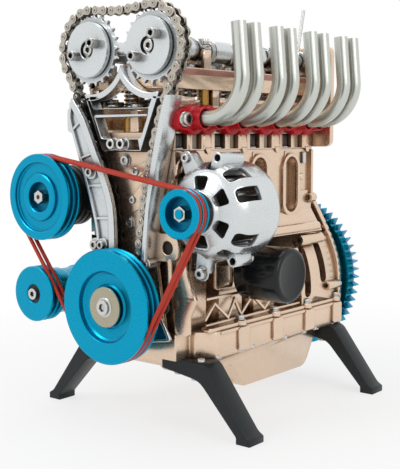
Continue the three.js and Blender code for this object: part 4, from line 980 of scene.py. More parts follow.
class ENGINE_OT_block(Operator):
    """Block with side windows, cylinder barrels, ribs and bell housing"""

    bl_idname, bl_label = "engine.block", "Engine block"

    def execute(self, context):
        e = engine(context)
        self.casting(e)
        blank = Blank("cylinder_barrels")
        for y in e.cylinders:
            # The lower part of each barrel is near black: painted shade deep inside the windows.
            for finish, radius, low, high in (("silver", 13.1, 110, 125.5), ("dark", 12.7, 72, 110)):
                profile = [(radius, low), (radius, high), (BORE, high), (BORE, low)]
                blank.add(finish, turned("z", (0, y), profile, 64, True))
        blank.finish("frame")
        self.details(e)
        return {"FINISHED"}

    def casting(self, e):
        front, rear, half, crank = e.front, e.rear, e.half, e.crank
        face = [(33.4, 45), (33.4, 53), (35.8, 58), (37.4, 61), (36.4, 63.4), (34, 66.5), (32.2, 73.6)]
        face += [(30, 82), (26, 88), (18, 90)]
        blank = Blank("engine_block_casting")
        for outline, low, high, edge in (
            (both_sides([(26, 45), (26, 126)]), front, 30, 0.3),
            (rounded(both_sides(face), 1.6), front, front + 2.2, 0.4),
            (both_sides([(33, 45), (33, 84)]), 28, 108, 0.3),
            (both_sides([(33, 83.7), (26, 95), (26, 126)]), 28, rear, 0.3),
            (bell_outline(1.6), 107.6, 142, 0.3), (bell_outline(), 140.6, 144, 0.4),
        ):
            blank.add("gold", plate("y", [outline], low, high, edge))
        windows = [(sign, *window) for sign in (1, -1) for window in window_slots(e)]
        for sign, y, low, high in windows:
            for grow, out in ((2.2, 1.5), (1.1, 0.8)):
                rim = slot_outline(y, low - grow, high + grow * 0.8, 5.6 + grow)
                loops = [rim, slot_outline(y, low, high, 5.6)]
                blank.add("gold", plate("x", loops, *on_side(sign, half - 1, half + out), 0.35))
        block = blank.finish("frame", "engine_block")
        cavity = arc(crank, 33, 0, 180, 64) + [(-33, 44), (33, 44)]
        cutters = [plate("y", [cavity], rear + 5, 146, SHARP)]
        for y in e.cylinders:
            cutters.append(slab(-26, 26, y - 8.9, y + 8.9, 40, 72, SHARP))
            cutters.append(drum("z", (0, y), BORE, 60, 130, 0, 64))
        cutters.append(slab(-21.6, 21.6, front + 4, rear - 4, 91, 124.6, SHARP))
        cutters.append(slab(-17.3, 17.3, front - 2, rear + 8, 40, 57.3, SHARP))
        cutters.append(drum("y", crank, 4.3, front - 2, rear + 8, 0, 32))
        cutters.append(drum("y", ALTERNATOR, 21.8, front - 2, 44.8, 0, 96))
        for sign in (1, -1):
            for y, low, high in window_slots(e):
                cutters.append(plate("x", [slot_outline(y, low, high, 5.5)], *on_side(sign, 13, 28.5), SHARP))
            for y, low, high in ((113.3, 50.2, 76.5), (128.2, 56.2, 78)):
                slot = slot_outline(y, low, high, 2.9, 12)
                cutters.append(plate("x", [slot], *on_side(sign, 22, 40), SHARP))
            cutters.append(slab(*on_side(sign, 25.2, 30), 118, 126, 104.5, 124.4, SHARP))
        carve(block, cutters, 0.3)

    def details(self, e):
        zigzag = [(30, 50.5), (37, 57.4), (47, 49.6), (52, 57.4), (57, 49.6), (66, 57.4), (76, 49.6)]
        zigzag += [(86, 57.4), (96, 49.6), (104, 57.4)]
        blank = Blank("block_details")
        for sign in (1, -1):
            skirt = on_side(sign, 32.6, 33.7)
            bars = [([thick_line(zigzag, 0.7)], skirt, 0.3)]
            ribs = [rectangle(31, 107, 59.4, 60.8), rectangle(31, 107, 47.6, 48.8)]
            bars += [([rounded(rib, 0.5)], skirt, 0.3) for rib in ribs]
            bars += [
                (
                    [rounded(rectangle(y - 7 - s, y + 5 + s, 64 - s, 76 + s), 1.8) for s in (0.6, -0.7)],
                    skirt, 0.3,
                )
                for y in e.bearings[1:4]
            ]
            bars.append(([rounded(rectangle(126.4, 128.4, 98, 125.6), 0.8)], on_side(sign, 25.6, 27.2), 0.3))
            bars += [
                ([rounded(rectangle(y + 3.2, y + 4.6, 98, 125), 0.6)], on_side(sign, 25.6, 26.5), 0.25)
                for y in e.bearings[1:4]
            ]
            for loops, depths, edge in bars:
                blank.add("gold", plate("x", loops, *depths, edge))
            blank.add("gold", drum("y", (sign * 31, 86), 2.4, 45.4, 127, 0.6))
            for u, v, bore, radius, face, mouth, end in (
                (31.9, 79.8, 1.3, 2.8, 107.9, 108.6, 128), (26.2, 100.6, 1.2, 2.5, 125.4, 126.4, 130),
                (35, 54.2, 1.1, 2.3, 130.1, 131, 142),
            ):
                profile = [(bore, mouth), (bore + 0.1, face), (radius - 0.2, face), (radius, face + 0.4)]
                profile += [(radius, end), (bore, end)]
                blank.add("gold", turned("y", (sign * u, v), profile, 32, True))
                # A near-black disc in each boss's bore: painted shade.
                blank.add("dark", disc("y", (sign * u, v), bore + 0.2, mouth + 0.3, 20))
            blank.add("bright", drum("z", (sign * 26.6, 119.6), 1.3, 118.6, 124.4, 0.3, 20))
            blank.add("gold", drum("x", (118.4, 111.8), 1.7, sign * 25, sign * 26.8, 0.3, 24))
            flange = rounded(rectangle(sign * 30, sign * 35.6, 31, 143), 1.5)
            blank.add("gold", plate("z", [flange], 45.0, 46.8, 0.3))
            for y in (55, 83, 111.6, 139.6):
                blank.add("gold", drum("z", (sign * 34.4, y), 3.0, 45, 47.6, 0.3, 28))
                blank.add("bright", cap_screw("z", (sign * 34.4, y), 47.5, 1, 2.0, 2.2))
        for angle in (38, 64, 116, 142):
            spot = polar(e.crank, 33.4, math.radians(angle))
            blank.add("gold", drum("y", spot, 2.6, 134, 143.8, 0.3, 28))
            blank.add("bright", cap_screw("y", spot, 134, -1, 1.7, 1.4))
        blank.finish("frame")


class ENGINE_OT_lower_case(Operator):
    """Bedplate, oil pan, legs and oil filter"""

    bl_idname, bl_label = "engine.lower_case", "Bedplate, pan and legs"

    def execute(self, context):
        self.bedplate(engine(context))
        self.oil_pan()
        self.legs()
        profile = [(0, 33.3), (6, 33.3), (6, 36.3), (11.9, 36.3), (12.45, 36.8), (12.6, 37.5), (12.6, 58.7)]
        profile += [(12.45, 59.5), (12.0, 60.15), (11.2, 60.5), (10.2, 60.6), (9.4, 60.4), (8.8, 60.25)]
        profile.append((0, 60.2))
        can = turned("x", (58.6, 70), profile, 96)
        Blank("oil_filter_can").add("gloss", can).finish("frame", "oil_filter")
        return {"FINISHED"}

    def bedplate(self, e):
        half = [(26, e.front), (26, 28), (29, 28), (36, 35), (36, 144)]
        loops = [rounded(both_sides(half), 0.8)] + [rectangle(-21, 21, y - 8.9, y + 8.9) for y in e.cylinders]
        blank = Blank("bedplate_casting").add("gold", plate("z", loops, 33, 44.9, 0.35))
        saddle = both_sides([(17, 44), (17, 56.9), (4.3, 56.9), (4.3, 54), (2.5, 52.8)])
        spans = [(e.front + 0.3, 21.8)] + [(y - 4.5, y + 4.5) for y in e.bearings[1:4]] + [(122.7, 133.2)]
        for low, high in spans:
            blank.add("gold", plate("y", [saddle], low, high, 0.2))
        for sign in (1, -1):
            for y in [bearing + step for bearing in e.bearings for step in (8.5, 19)]:
                if y <= 140:
                    blank.add("bright", cap_screw("z", (sign * 34.6, y), 34.2, -1, 1.7, 1.6))
            for y in (55, 83, 111.6, 138.6):
                pilaster = rounded(rectangle(y - 4.4, y + 4.4, 33.6, 44.6), 1.8)
                blank.add("gold", plate("x", [pilaster], *on_side(sign, 35.4, 37.2), 0.5))
            bead = rounded([(38, 43.2), (38, 44.8), (143, 44.8), (143, 43.2)], 0.6)
            blank.add("gold", plate("x", [bead], *on_side(sign, 35.4, 36.5), 0.3))
        blank.finish("frame", "bedplate")

    def oil_pan(self):
        side = [(30, 32.9), (30, 25.4), (58, 25.4), (69, 11), (125.4, 11), (128.6, 31.4), (130.4, 31.4)]
        side.append((130.4, 32.9))
        shell = plate("x", [rounded(side, [0, 3, 6, 3, 5, 0.6, 0, 0])], -30, 30, 0.6)
        pan = Blank("oil_pan_shell").add("gold", shell).finish("frame", "oil_pan")
        cutters = []
        for sign in (1, -1):
            cutters.append(slab(*on_side(sign, 12, 34), 20, 34.7, 9, 34, SHARP))
            wedge = [(sign * 34, 34), (sign * 30.2, 31.4), (sign * 25, 10), (sign * 34, 10)]
            cutters.append(plate("y", [wedge], 20, 135, SHARP))
        carve(pan, cutters, 0.9)
        panel = rounded([(-21, 12.6), (21, 12.6), (25, 28), (-25, 28)], 2)
        blank = Blank("oil_pan_details").add("gold", plate("y", [panel], 66, 67.2, 0.3))
        blank.add("bright", cap_screw("z", (0, 94), 11.2, -1, 3.2, 2.2))
        for sign in (1, -1):
            for y in (42, 60, 78, 96, 114, 126):
                blank.add("bright", cap_screw("z", (sign * 31.6, y), 33, -1, 1.7, 1.8))
        blank.finish("frame")

    def legs(self):
        foot = [(13.4, 33), (38.5, 33), (60, 4.6), (62.8, 3), (62.8, 0), (55.4, 0), (55.4, 3), (35, 24.5)]
        foot.append((13.4, 27.5))
        foot = rounded(foot, [0.5, 3, 1.5, 0.6, 0.4, 0.4, 0.5, 4, 0.6])
        for end, y in (("front", 23.4), ("rear", 131)):
            for side, sign in (("right", 1), ("left", -1)):
                bar = plate("y", [foot if sign > 0 else mirror_u(foot)], y, y + 11, 0.5)
                blank = Blank(f"leg_{end}_{side}_bar").add("black", bar)
                for x in (19, 29):
                    under = 27.0 - (x - 13.4) * 0.139 + 0.5
                    blank.add("bright", cap_screw("z", (sign * x, y + 5.5), under, -1, 2.1, 2.2))
                blank.finish("frame", f"leg_{end}_{side}")


class ENGINE_OT_head(Operator):
    """Cylinder head, cam carrier, cam caps and the plate behind them"""

    bl_idname, bl_label = "engine.head", "Cylinder head"

    def execute(self, context):
        e = engine(context)
        self.casting(e)
        self.details(e)
        inner = [(y - 4.9, y + 0.1) for y in e.bearings[1:4]]
        spans = [(e.front, e.front + 2.8), *inner, (e.rear - 2.8, e.rear)]
        self.carrier(e, spans)
        self.caps(e.cam_x, e.cam_z, spans)
        outline = rounded(rectangle(-37, 37, 127, 178), 4, 8)
        blank = Blank("rear_plate_panel").add("gold", plate("y", [outline], e.rear + 0.3, e.rear + 3.5, 0.4))
        for x, z in ((-31, 133), (31, 133), (-31, 172), (31, 172), (0, 133), (0, 172)):
            blank.add("bright", cap_screw("y", (x, z), e.rear + 3.4, 1, 2.2, 1.4))
        blank.finish("frame", "rear_plate")
        return {"FINISHED"}

    def casting(self, e):
        front, rear, half, deck, top = e.front, e.rear, e.half, e.deck, e.head_top
        posts = [(front, front + 2.8)] + [(y + 0.4, y + 5.0) for y in e.bearings[1:4]] + [(rear - 2.8, rear)]
        blank = Blank("head_casting").add("gold", slab(-half, half, front, rear, deck + 0.05, top, 0.3))
        for sign in (1, -1):
            post, pad, lug = (on_side(sign, half - a, half - b) for a, b in ((0.3, 6), (0.5, 5), (1.5, 4)))
            for low, high in posts:
                blank.add("gold", slab(*post, low, high, top - 1, e.rail_low + 0.4))
            for y in e.cylinders:
                blank.add("gold", slab(*pad, y - 8, y + 1.6, top - 1, top + 3.6, 0.3))
                blank.add("gold", slab(*lug, y + 3, y + 6.4, top - 1, top + 2.6, 0.3))
        head = blank.finish("frame", "cylinder_head")
        well = rounded(rectangle(-17, 17, deck + 8, top + 6), [2.6, 2.6, 0, 0])
        cutters = [plate("y", [well], front - 2, rear - 5, SHARP)]
        for y in e.cylinders:
            for sign in (1, -1):
                for start, end in ((-12.4, -4.5), (-1.0, 5.7)):
                    pocket = rounded(rectangle(y + start, y + end, deck + 0.7, deck + 7.7), 0.5)
                    cutters.append(plate("x", [pocket], *on_side(sign, 19.5, 27), SHARP))
                for step in (-5.1, 5.1):
                    cutters.append(drum("x", (y + step, 140), 2.4, sign * 21, sign * 27, 0, 24))
        carve(head, cutters, 0.25)

    def details(self, e):
        front, rear, deck, top, rail = e.front, e.rear, e.deck, e.head_top, e.rail_low
        blank = Blank("head_details")
        for y in e.cylinders:
            for sign in (1, -1):
                boss = ring((sign * 24.3, y + 9.9), 2.5, 40, 0, 1.62)
                pin = ring((sign * 24.6, y - 2.75), 1.65, 28)
                blank.add("gold", plate("z", [boss], deck + 0.3, deck + 7.9, 0.4))
                blank.add("gold", plate("z", [pin], deck + 0.3, deck + 7.9, 0.2))
                drop = [(y + 7.4, 127.4), (y + 12.4, 127.4), (y + 11.0, 124.4), (y + 8.8, 124.4)]
                blank.add("gold", plate("x", [rounded(drop, 1.2)], *on_side(sign, 25.6, 26.9), 0.4))
                wall = [(3.2, deck + 0.7), (3.2, deck + 7.8)]
                # The pocket's round wall takes the darker case copy: painted shade.
                blank.add("gold_painted_shade", turned("z", (sign * 21.8, y + 2.3), wall, 28))
                spot = (sign * 22.2, y - 8.4)
                bolt = [(0, 1.6), (3.1, 1.6), (3.1, 6.8), (2.4, 7.4), (0, 7.4)]
                bolt = [(radius, deck + rise) for radius, rise in bolt]
                blank.add("dark", turned("z", spot, eased(bolt), 32))
                blank.add("bright", drum("z", spot, 3.7, deck + 0.7, deck + 1.5, 0.2))
                blank.add("bronze", drum("z", (sign * 22.8, y + 11.3), 2.3, top - 0.5, rail + 0.3, 0.2, 28))
        for y in (front + 4, *e.bearings[1:4], rear - 9):
            blank.add("gold", drum("z", (0, y), 3.6, deck + 8, top - 2))
            blank.add("bright", cap_screw("z", (0, y), top - 2, 1, 2.6, 2.6))
        blank.finish("frame")

    def carrier(self, e, spans):
        front, rear, half, rail, reach = e.front, e.rear, e.half, e.rail_low, 2
        blank = Blank("cam_carrier_frame")
        for sign in (1, -1):
            band = on_side(sign, half + 0.06, half - 0.5)
            blank.add("gold", slab(*on_side(sign, half, half - 3.6), front, rear, rail, rail + 9.5, 0.35))
            blank.add("rose", slab(*band, front + 0.5, rear - 0.5, rail + 6.3, rail + 9.0, 0.05))
            for low, high in spans:
                blank.add("gold", slab(*on_side(sign, e.cam_x - 4.6, half - 1), low, high, rail + 1, e.cam_z))
        for low, high in spans:
            blank.add("gold", slab(-22.9, 22.9, low + 0.1, high - 0.1, rail + 0.1, rail + 5, 0.3))
        carrier = blank.finish("frame", "cam_carrier")
        ends = (front - reach, rear + reach)
        holes = [drum("y", (sign * e.cam_x, e.cam_z), CAM_BORE, *ends, 0, 40) for sign in (1, -1)]
        carve(carrier, holes, 0.2)

    def caps(self, x, z, spans):
        crest = arc((x, z), 5.2, 150, 20, 16)
        over = [(25, z + 0.3), (25, z + 1.5), (x + 5.0, z + 1.5), *crest[::-1], (11.9, z + 0.5)]
        over.append((10.4, z - 2.5))
        inner = [(-13.4, z + 0.3), (-13.4, z - 5.5), (13.4, z - 5.5), (13.4, z + 0.3)]
        for i, (low, high) in enumerate(spans):
            blank = Blank(f"cam_cap_{i + 1}_yoke")
            blank.add("silver", plate("y", [both_sides(over) + inner], low, high))
            r, teeth = min(2.3, (high - low) / 2), 20
            for sign in (1, -1):
                spot = (sign * 22.9, (low + high) / 2)
                knurl = toothed(spot, teeth, [(0, r), (0.5, r - 0.14)])
                blank.add("bright", drum("z", spot, r + 0.1, z + 1.4, z + 2.0, 0.15))
                blank.add("bright", plate("z", [knurl, ring(spot, r * 0.5, 6)], z + 2.3, z + 4.9, 0.12))
                # A near-black disc in each knurled screw's socket: painted shade.
                blank.add("dark", disc("z", spot, r * 0.6, z + 3.6, 12))
            yoke = blank.finish("frame", f"cam_cap_{i + 1}")
            holes = [drum("y", (sign * x, z), CAM_BORE, low - 2, high + 2, 0, 40) for sign in (1, -1)]
            carve(yoke, holes, finish="silver")


class ENGINE_OT_valve_gear(Operator):
    """Camshafts with drums and lobes, tappets, springs and valves"""

    bl_idname, bl_label = "engine.valve_gear", "Valve gear"

    def execute(self, context):
        e = engine(context)
        quarter_turns = (0, 2, 3, 1)
        for side, sign, phase in (("left", -1, 0), ("right", 1, 108)):
            centre = (sign * e.cam_x, e.cam_z)
            blank = Blank("camshaft_" + side + "_turned")
            blank.add("silver", drum("y", centre, 3.4, 12.0, e.rear - 0.5, 0, 40))
            for y, quarters in zip(e.cylinders, quarter_turns):
                journal = eased([(3.4, y - 6.4), (5, y - 6.4), (5, y + 5.4), (3.4, y + 5.4)], 0.5)
                blank.add("silver", turned("y", centre, journal, 56))
                turn = phase + quarters * 90
                tip = polar(centre, 3.7, math.radians(turn))
                lobe = arc(centre, 4.4, turn + 62, turn + 298, 28) + arc(tip, 2.4, turn - 62, turn + 62, 12)
                for low in (y - 9.5, y + 5.45):
                    blank.add("steel", plate("y", [lobe], low, low + 3.05))
            blank.finish("cam_" + side, "camshaft_" + side)
        blank = Blank("valves_and_springs")
        for y in e.cylinders:
            for sign in (1, -1):
                for step in (-6.6, 6.6):
                    spot = (sign * e.cam_x, y + step)
                    blank.add("bright", coil(spot, 2.7, 146.2, 157.2, 0.42, 5.5))
                    blank.add("steel", turned("z", spot, [(0.9, 140), (0.9, 158)], 12))
                    blank.add("bright", drum("z", spot, 3.1, 157, 164.6, 0.3, 28))
                    blank.add("bright", drum("z", spot, 3.4, 145.9, 146.7, 0.2, 28))
                    blank.add("bronze", drum("z", (sign * 8.5, y + step * 0.77), 2.2, 134, 141, 0.3, 24))
        blank.finish("frame")
        return {"FINISHED"}


class ENGINE_OT_exhaust(Operator):
    """Red flange, eight curved pipes, the intake and the dipstick"""

    bl_idname, bl_label = "engine.exhaust", "Exhaust and intake"

    def execute(self, context):
        e, s = engine(context), context.scene.engine_exhaust
        z, step = s.port_height / MM, s.port_step / MM
        ports = [y + d for y in e.cylinders for d in (-step, step)]
        self.flange(ports, z)
        self.pipes(ports, z, s)
        self.intake(e, ports, z)
        foot, tip = Vector((24.9, 112.8, 162.8)), Vector((24.9, 121.0, 196.2))
        blank = Blank("dipstick_rod").add("steel", tube([foot.lerp(tip, k / 6) for k in range(7)], 0.85, 14))
        blank.add("silver", tube([foot, foot.lerp(tip, 0.35)], 1.15, 16)).finish("frame", "dipstick")
        return {"FINISHED"}

    def flange(self, ports, z):
        middle = z - 0.4
        tab = [(15.0, middle - 2.6), (16.6, middle - 4.5), (25.0, middle - 4.5), (25.0, middle + 4.5)]
        tab = rounded(tab + [(17.0, middle + 4.3), (15.0, middle + 2.4)], [1.4, 1.6, 0, 0, 1.6, 1.4])
        rail = rectangle(ports[0], ports[-1], middle - 4, middle + 3.6)
        collar = [(4.9, 30.2), (4.9, 36.5), (4.75, 36.95), (4.4, 37.05), (4.05, 36.8), (3.95, 36.2)]
        collar += [(3.95, 30.7), (2.4, 30.6), (2.4, 30.2)]
        fillet = [(6.1, 30.8), (5.5, 31.0), (5.1, 31.5), (4.9, 32.3), (4.7, 30.3)]
        blank = Blank("exhaust_flange_plate").add("flange", plate("x", [tab], 26, 30.7, 0.5))
        blank.add("flange", plate("x", [rail], 26.1, 30.35, 0.3))
        for i, y in enumerate(ports):
            blank.add("flange", plate("x", [ring((y, middle), 6.7, 56)], 26, 30.9 - 0.03 * (i % 2), 0.8))
            blank.add("flange", *[turned("x", (y, z), profile, 56, True) for profile in (collar, fillet)])
            # A near-black ring between each pipe and its collar: painted shade in the gap.
            blank.add("dark", turned("x", (y, z), [(3.2, 30.72), (4.0, 30.72)], 40))
        bolt = (19.0, z - 0.3)
        washer = eased([(0, 30.3), (3.3, 30.3), (3.3, 31.3), (3.0, 31.7), (0, 31.7)], 0.25)
        blank.add("bright", turned("x", bolt, washer, 36), cap_screw("x", bolt, 31.4, 1, 2.85, 2.2, 0.62))
        # A near-black disc in the screw's socket: painted shade.
        blank.add("dark", disc("x", bolt, 1.8, 32.4, 12)).finish("frame", "exhaust_flange")

    def pipes(self, ports, z, s):
        bend, radius, start, straight, lean = s.bend / MM, s.pipe / MM, 30.8, 7.7, 2.0
        knee, top = start + straight, s.top / MM
        turns = [math.radians(90 * k / 28) for k in range(29)]
        for i, y in enumerate(ports):
            path = [(start + straight * k / 3, y, z) for k in range(3)]
            path += [(knee + bend * math.sin(a), y, z + bend * (1 - math.cos(a))) for a in turns]
            end = path[-1]
            path += [(end[0] - lean * k / 6, y, end[2] + (top - end[2]) * k / 6) for k in range(1, 7)]
            pipe = tube(path, radius, 44, inner=radius - s.wall / MM)
            blank = Blank(f"exhaust_pipe_{i + 1}_bend").add("pipe", pipe)
            blank.finish("frame", f"exhaust_pipe_{i + 1}", smooth=40)

    def intake(self, e, ports, z):
        low, high = ports[0] - 6.1, ports[-1] + 6.1
        base = rounded(rectangle(low, high, z - 5.8, z + 5.8), 3)
        blank = Blank("intake_casting").add("silver", plate("x", [base], -29.9, -26, 0.35))
        runner = [(5.2, -29.6), (4.2, -30.1), (3.6, -31), (3.6, -34.5), (4.0, -35.6), (4.8, -36.4)]
        for y in e.cylinders:
            blank.add("silver", turned("x", (y, z), runner, 40))
        plenum = rounded(rectangle(-43.9, -36, z - 6, z + 6), 2.6, 8)
        blank.add("silver", plate("y", [plenum], low + 0.6, high - 0.6, 0.9))
        for y in e.bearings:
            if low + 3 < y < high - 3:
                for rise in (-3.4, 3.4):
                    blank.add("bright", cap_screw("x", (y, z + rise), -29.9, -1, 1.6, 1.5))
        blank.finish("frame", "intake_manifold")


class ENGINE_OT_alternator(Operator):
    """Alternator housing with rounded windows, its rotor, and its lugs"""

    bl_idname, bl_label = "engine.alternator", "Alternator"

    def execute(self, context):
        self.housing()
        self.lugs()
        blank = Blank("alternator_core").add("dark", sleeve("y", ALTERNATOR, 2.8, 15.4, 21.5, 40.4, 0.4, 96))
        for spot in ring(ALTERNATOR, 15.2, 12):
            blank.add("bright", drum("y", spot, 1.35, 22.5, 39.4, 0.3, 12))
        blank.finish("alternator", "alternator_rotor")
        # A black disc in front of the housing's hub: painted shade for the gap behind the pulley.
        hub = eased([(3.0, 9.4), (8.9, 9.4), (9.2, 12.3), (3.0, 12.3)], 0.4)
        Blank("alternator_gap_shade").add("black", turned("y", ALTERNATOR, hub, 64)).finish("frame")
        return {"FINISHED"}

    def housing(self):
        x, z = ALTERNATOR
        outer = [(3, 12.4), (9.0, 12.4), (9.6, 12.9), (10.0, 14.2), (10.6, 14.7), (15.4, 15.6), (16.6, 16.1)]
        outer += [(18.0, 17.3), (19.4, 19.0), (20.5, 21.0), (21.2, 23.0), (21.5, 25.4), (21.5, 41)]
        outer += [(21.2, 43.2), (20.2, 44.4), (18, 44.5)]
        inner = [(18, 42.8), (19.6, 41), (19.6, 26), (19.2, 24), (18.2, 21.8), (17, 19.6)]
        inner += [(15, 17.4), (9, 16.4), (8.5, 14.4), (3, 14.2)]
        blank = Blank("alternator_shell").add("silver", turned("y", ALTERNATOR, outer + inner, 128, True))
        shell = blank.finish("frame", "alternator_housing", smooth=40)
        cutters = []
        for k in range(6):
            a, b = (math.radians(30 + 60 * k + d) for d in (-14.5, 14.5))
            window = [polar(ALTERNATOR, r, t) for r, t in ((9.9, a), (15.9, a), (15.9, b), (9.9, b))]
            cutters.append(plate("y", [rounded(window, [0.9, 2.0, 2.0, 0.9])], 11, 19, SHARP))
        window = rounded([(17.6, -3.2), (30.6, -3.3), (30.6, 3.3), (17.6, 3.2)], [2.4, 0.9, 0.9, 2.4])
        side_cutter = plate("x", [window], 15.5, 24, SHARP)
        for angle in (23, 52, 81, 110, 139, 168, 197, 226, 255, 297, 326):
            cutters.append(moved(side_cutter, turned_to(x, z, math.radians(angle))))
        carve(shell, cutters, 0.35, 40, "silver")

    def lugs(self):
        x, z = ALTERNATOR
        blank = Blank("alternator_lugs")
        for dx, dz, y, length, r in (
            (-11.1, 22.6, 19, 6, 3.1), (4.2, 22.8, 21, 16, 2.5),
            (-5.6, -25.6, 22, 6, 2.8), (8.6, -21.4, 26, 11, 2.6),
        ):
            eye, inward = Vector((x + dx, z + dz)), Vector((-dx, -dz)).normalized()
            side, base = Vector((-inward.y, inward.x)) * r, eye + inward * 7
            head = math.degrees(math.atan2(-side.y, -side.x))
            outline = arc(eye, r, head - 180, head, 16) + [tuple(base - side * 1.3), tuple(base + side * 1.3)]
            blank.add("silver", plate("y", [outline, ring(eye, 1.5, 20)], y, y + length, 0.35))
        blank.add("bright", cap_screw("y", (31.7, 123.1), 19, -1, 2.0, 1.4))
        blank.add("bright", drum("y", (38.6, 73.2), 3.4, 22, 21.4, 0.2))
        blank.add("bright", cap_screw("y", (38.6, 73.2), 21.4, -1, 2.4, 2.4))
        blank.add("bright", cap_screw("y", (51.4, 79.1), 37, 1, 1.9, 2.6))
        blank.finish("frame")


class ENGINE_OT_accessories(Operator):
    """Compressor body, pump body and flywheel"""

    bl_idname, bl_label = "engine.accessories", "Compressor, pump and flywheel"

    def execute(self, context):
        fins = [(2.8, 8.8), (13.2, 8.8), (14.4, 10)]
        for k in range(4):
            y = 11.6 + k * 3.4
            fins += [(14.4, y), (13.4, y + 0.3), (13.4, y + 1.1), (14.4, y + 1.4)]
        body = turned("y", COMPRESSOR, fins + [(14.4, 25), (13.4, 26), (2.8, 26)], 72, True)
        blank = Blank("compressor_case").add("black", body, slab(-42, -26.4, 18.4, 20.9, 97.2, 111.2, 0.4))
        blank.finish("frame", "compressor_body")
        pump = [(2.8, 8.8), (11, 8.8), (11, 16), (10.2, 17), (10.2, 26), (11, 27), (11, 32), (2.8, 32)]
        blank = Blank("pump_case").add("blue", turned("y", IDLER, eased(pump, 0.5), 72, True))
        bracket = rounded(rectangle(28.2, 38.8, 51.4, 65), 2)
        blank.add("blue", plate("x", [bracket], -46, -33.3, 0.5))
        for rise in (-4, 4):
            blank.add("bright", cap_screw("y", (-38, IDLER[1] + rise), 28.2, -1, 1.7, 1.6))
        blank.finish("frame", "pump_body")
        self.flywheel(engine(context).crank)
        return {"FINISHED"}

    def flywheel(self, crank):
        tooth = [(-0.32, 38.6), (-0.08, 41.6), (0.0, 41.9), (0.08, 41.6), (0.32, 38.6)]
        loops = [toothed(crank, 60, tooth), ring(crank, 33, 96)]
        blank = Blank("flywheel_disc").add("blue", plate("y", loops, 147, 153, 0.3))
        web = [ring(crank, 33.4, 96), ring(crank, 11, 48)] + [ring(p, 5.6, 40) for p in ring(crank, 22.5, 6)]
        blank.add("blue", plate("y", web, 148.7, 151.3, 0.3))
        blank.add("blue", sleeve("y", crank, 5.8, 12, 145.1, 154.9, 0.5, 72))
        for spot in ring(crank, 8.9, 6):
            blank.add("bright", cap_screw("y", spot, 154.8, 1, 1.5, 0.9))
        blank.finish("crank", "flywheel", smooth=28)


class ENGINE_OT_inner_gear(Operator):
    """Finishes for the crankshaft, rods, pistons and dowels, whose solids are kept"""

    bl_idname, bl_label = "engine.inner_gear", "Crank gear"

    def execute(self, context):
        names = ["crankshaft", "flywheel_dowel_upper", "flywheel_dowel_lower"]
        names += [f"{kind}_{i}" for kind in ("piston", "con_rod") for i in range(1, 5)]
        for name in names:
            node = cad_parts[name]
            node.data.materials.clear()
            node.data.materials.append(FINISHES["bright" if name.startswith("piston") else "steel"])
        return {"FINISHED"}


# Stage


RAYS = ("Is Camera Ray", "Is Glossy Ray", "Is Transmission Ray")


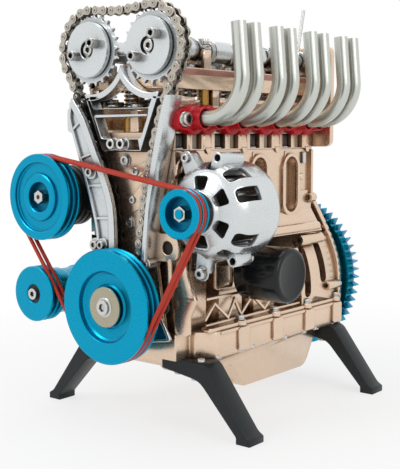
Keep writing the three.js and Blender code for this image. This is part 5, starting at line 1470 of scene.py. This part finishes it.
class ENGINE_OT_stage(Operator):
    """Pale floor, soft lamps and the camera at the photograph's angle"""

    bl_idname, bl_label = "engine.stage", "Stage"

    def execute(self, context):
        scene, s = context.scene, context.scene.engine_stage
        self.floor(scene, s.floor)
        self.room(scene, s.sky)
        middle = (0, 0, 0.1)
        for name, where, aim, wide, power in (
            ("key", (-0.35, -0.75, 0.75), middle, 0.5, s.key),
            ("side", (0.85, -0.15, 0.5), middle, 0.5, s.key * 0.6),
            ("top", (0.0, 0.1, 1.0), (0, 0, 0), 0.7, s.key * 0.8),
        ):
            lamp = bpy.data.lights.new(name, "AREA")
            lamp.energy, lamp.size, lamp.shape = power, wide, "DISK"
            holder = bpy.data.objects.new(name, lamp)
            holder.location = where
            holder.rotation_euler = (Vector(aim) - Vector(where)).to_track_quat("-Z", "Y").to_euler()
            scene.collection.objects.link(holder)
        lens = bpy.data.cameras.new("camera")
        lens.lens, lens.sensor_width, lens.sensor_fit, lens.clip_start = s.lens, 36, "AUTO", 0.01
        camera = bpy.data.objects.new("camera", lens)
        azimuth, elevation = math.radians(38.92), math.radians(5.95)
        level = math.cos(elevation)
        ahead = Vector((-math.sin(azimuth) * level, math.cos(azimuth) * level, -math.sin(elevation)))
        camera.location = Vector((292.9, -295.0, 132.6)) * MM + SHIFT
        camera.rotation_euler = ahead.to_track_quat("-Z", "Y").to_euler()
        scene.collection.objects.link(camera)
        scene.camera = camera
        scene.view_settings.view_transform = "Standard"
        return {"FINISHED"}

    def floor(self, scene, radius):
        """A pale disc that fades to white away from the engine, for the camera and for reflections."""
        paint = Finish("floor_paint")
        x, y = (paint.node("ShaderNodeSeparateXYZ", {}, {0: paint.object}, k) for k in (0, 1))
        back = y - 0.02
        square = x * x + back * back
        fade = paint.between(square.sum("SQRT", square), 0.06, 0.3, 0.72, 1.0)
        glow = paint.node("ShaderNodeEmission", {}, {"Color": (1, 1, 1), "Strength": 1.0})
        rays = [paint.node("ShaderNodeLightPath", output=name) for name in RAYS]
        paint.surface(base_color=(0.86, 0.86, 0.86), roughness=0.7)
        parts = {0: fade * (rays[0] + rays[1] + rays[2]), 1: Value(paint, paint.shader.outputs[0]), 2: glow}
        skin = paint.node("ShaderNodeMixShader", {}, parts)
        paint.tree.links.new(skin.socket, paint.tree.nodes["Material Output"].inputs["Surface"])
        mesh = bpy.data.meshes.new("floor")
        mesh.from_pydata([(u, v, 0) for u, v in ring((0, 0), radius, 96)], [], [tuple(range(96))])
        mesh.materials.append(paint.material)
        ground = bpy.data.objects.new("floor", mesh)
        scene.collection.objects.link(ground)

    def room(self, scene, sky):
        """Soft light from all round, and plain white for the camera and for reflections."""
        world = bpy.data.worlds.new("room")
        scene.world = world
        world.use_nodes = True
        nodes, links = world.node_tree.nodes, world.node_tree.links
        ray = nodes.new("ShaderNodeLightPath")
        level = nodes.new("ShaderNodeMapRange")
        level.inputs["To Min"].default_value, level.inputs["To Max"].default_value = sky, 1.0
        seen = [nodes.new("ShaderNodeMath") for _ in range(2)]
        for i, name in enumerate(RAYS):
            links.new(ray.outputs[name], seen[max(i - 1, 0)].inputs[min(i, 1)])
        links.new(seen[0].outputs[0], seen[1].inputs[0])
        links.new(seen[1].outputs[0], level.inputs["Value"])
        links.new(level.outputs[0], nodes["Background"].inputs["Strength"])
        nodes["Background"].inputs["Color"].default_value = (1, 1, 1, 1)


class ENGINE_PT_panel(Panel):
    """Lists the engine's sizes, colours and pieces"""

    bl_idname, bl_label = "ENGINE_PT_panel", "Engine model"
    bl_space_type, bl_region_type, bl_category = "VIEW_3D", "UI", "Engine"

    def draw(self, context):
        for group in GROUPS:
            box = self.layout.box()
            owner = getattr(context.scene, group)
            for name in owner.__annotations__:
                box.prop(owner, name)
        for operator in OPERATORS:
            self.layout.operator(operator.bl_idname)


GROUPS = {
    "engine_sizes": EngineSizes, "engine_chain": ChainSizes, "engine_exhaust": ExhaustSizes,
    "engine_colours": FinishColours, "engine_stage": StageSizes,
}
OPERATORS = (
    ENGINE_OT_stage, ENGINE_OT_chain, ENGINE_OT_cam_wheels, ENGINE_OT_pulleys, ENGINE_OT_belts,
    ENGINE_OT_chain_guides, ENGINE_OT_block, ENGINE_OT_lower_case, ENGINE_OT_head, ENGINE_OT_valve_gear,
    ENGINE_OT_exhaust, ENGINE_OT_alternator, ENGINE_OT_accessories, ENGINE_OT_inner_gear,
)


def register():
    for group in GROUPS.values():
        bpy.utils.register_class(group)
    for name, group in GROUPS.items():
        setattr(bpy.types.Scene, name, PointerProperty(type=group))
    for operator in OPERATORS:
        bpy.utils.register_class(operator)
    bpy.utils.register_class(ENGINE_PT_panel)


def unregister():
    bpy.utils.unregister_class(ENGINE_PT_panel)
    for operator in reversed(OPERATORS):
        bpy.utils.unregister_class(operator)
    for name, group in GROUPS.items():
        delattr(bpy.types.Scene, name)
        bpy.utils.unregister_class(group)


def main():
    register()
    FINISHES.update(make_finishes(bpy.context))
    for operator in OPERATORS:
        family, name = operator.bl_idname.split(".")
        getattr(getattr(bpy.ops, family), name)()


if __name__ == "__main__":
    main()
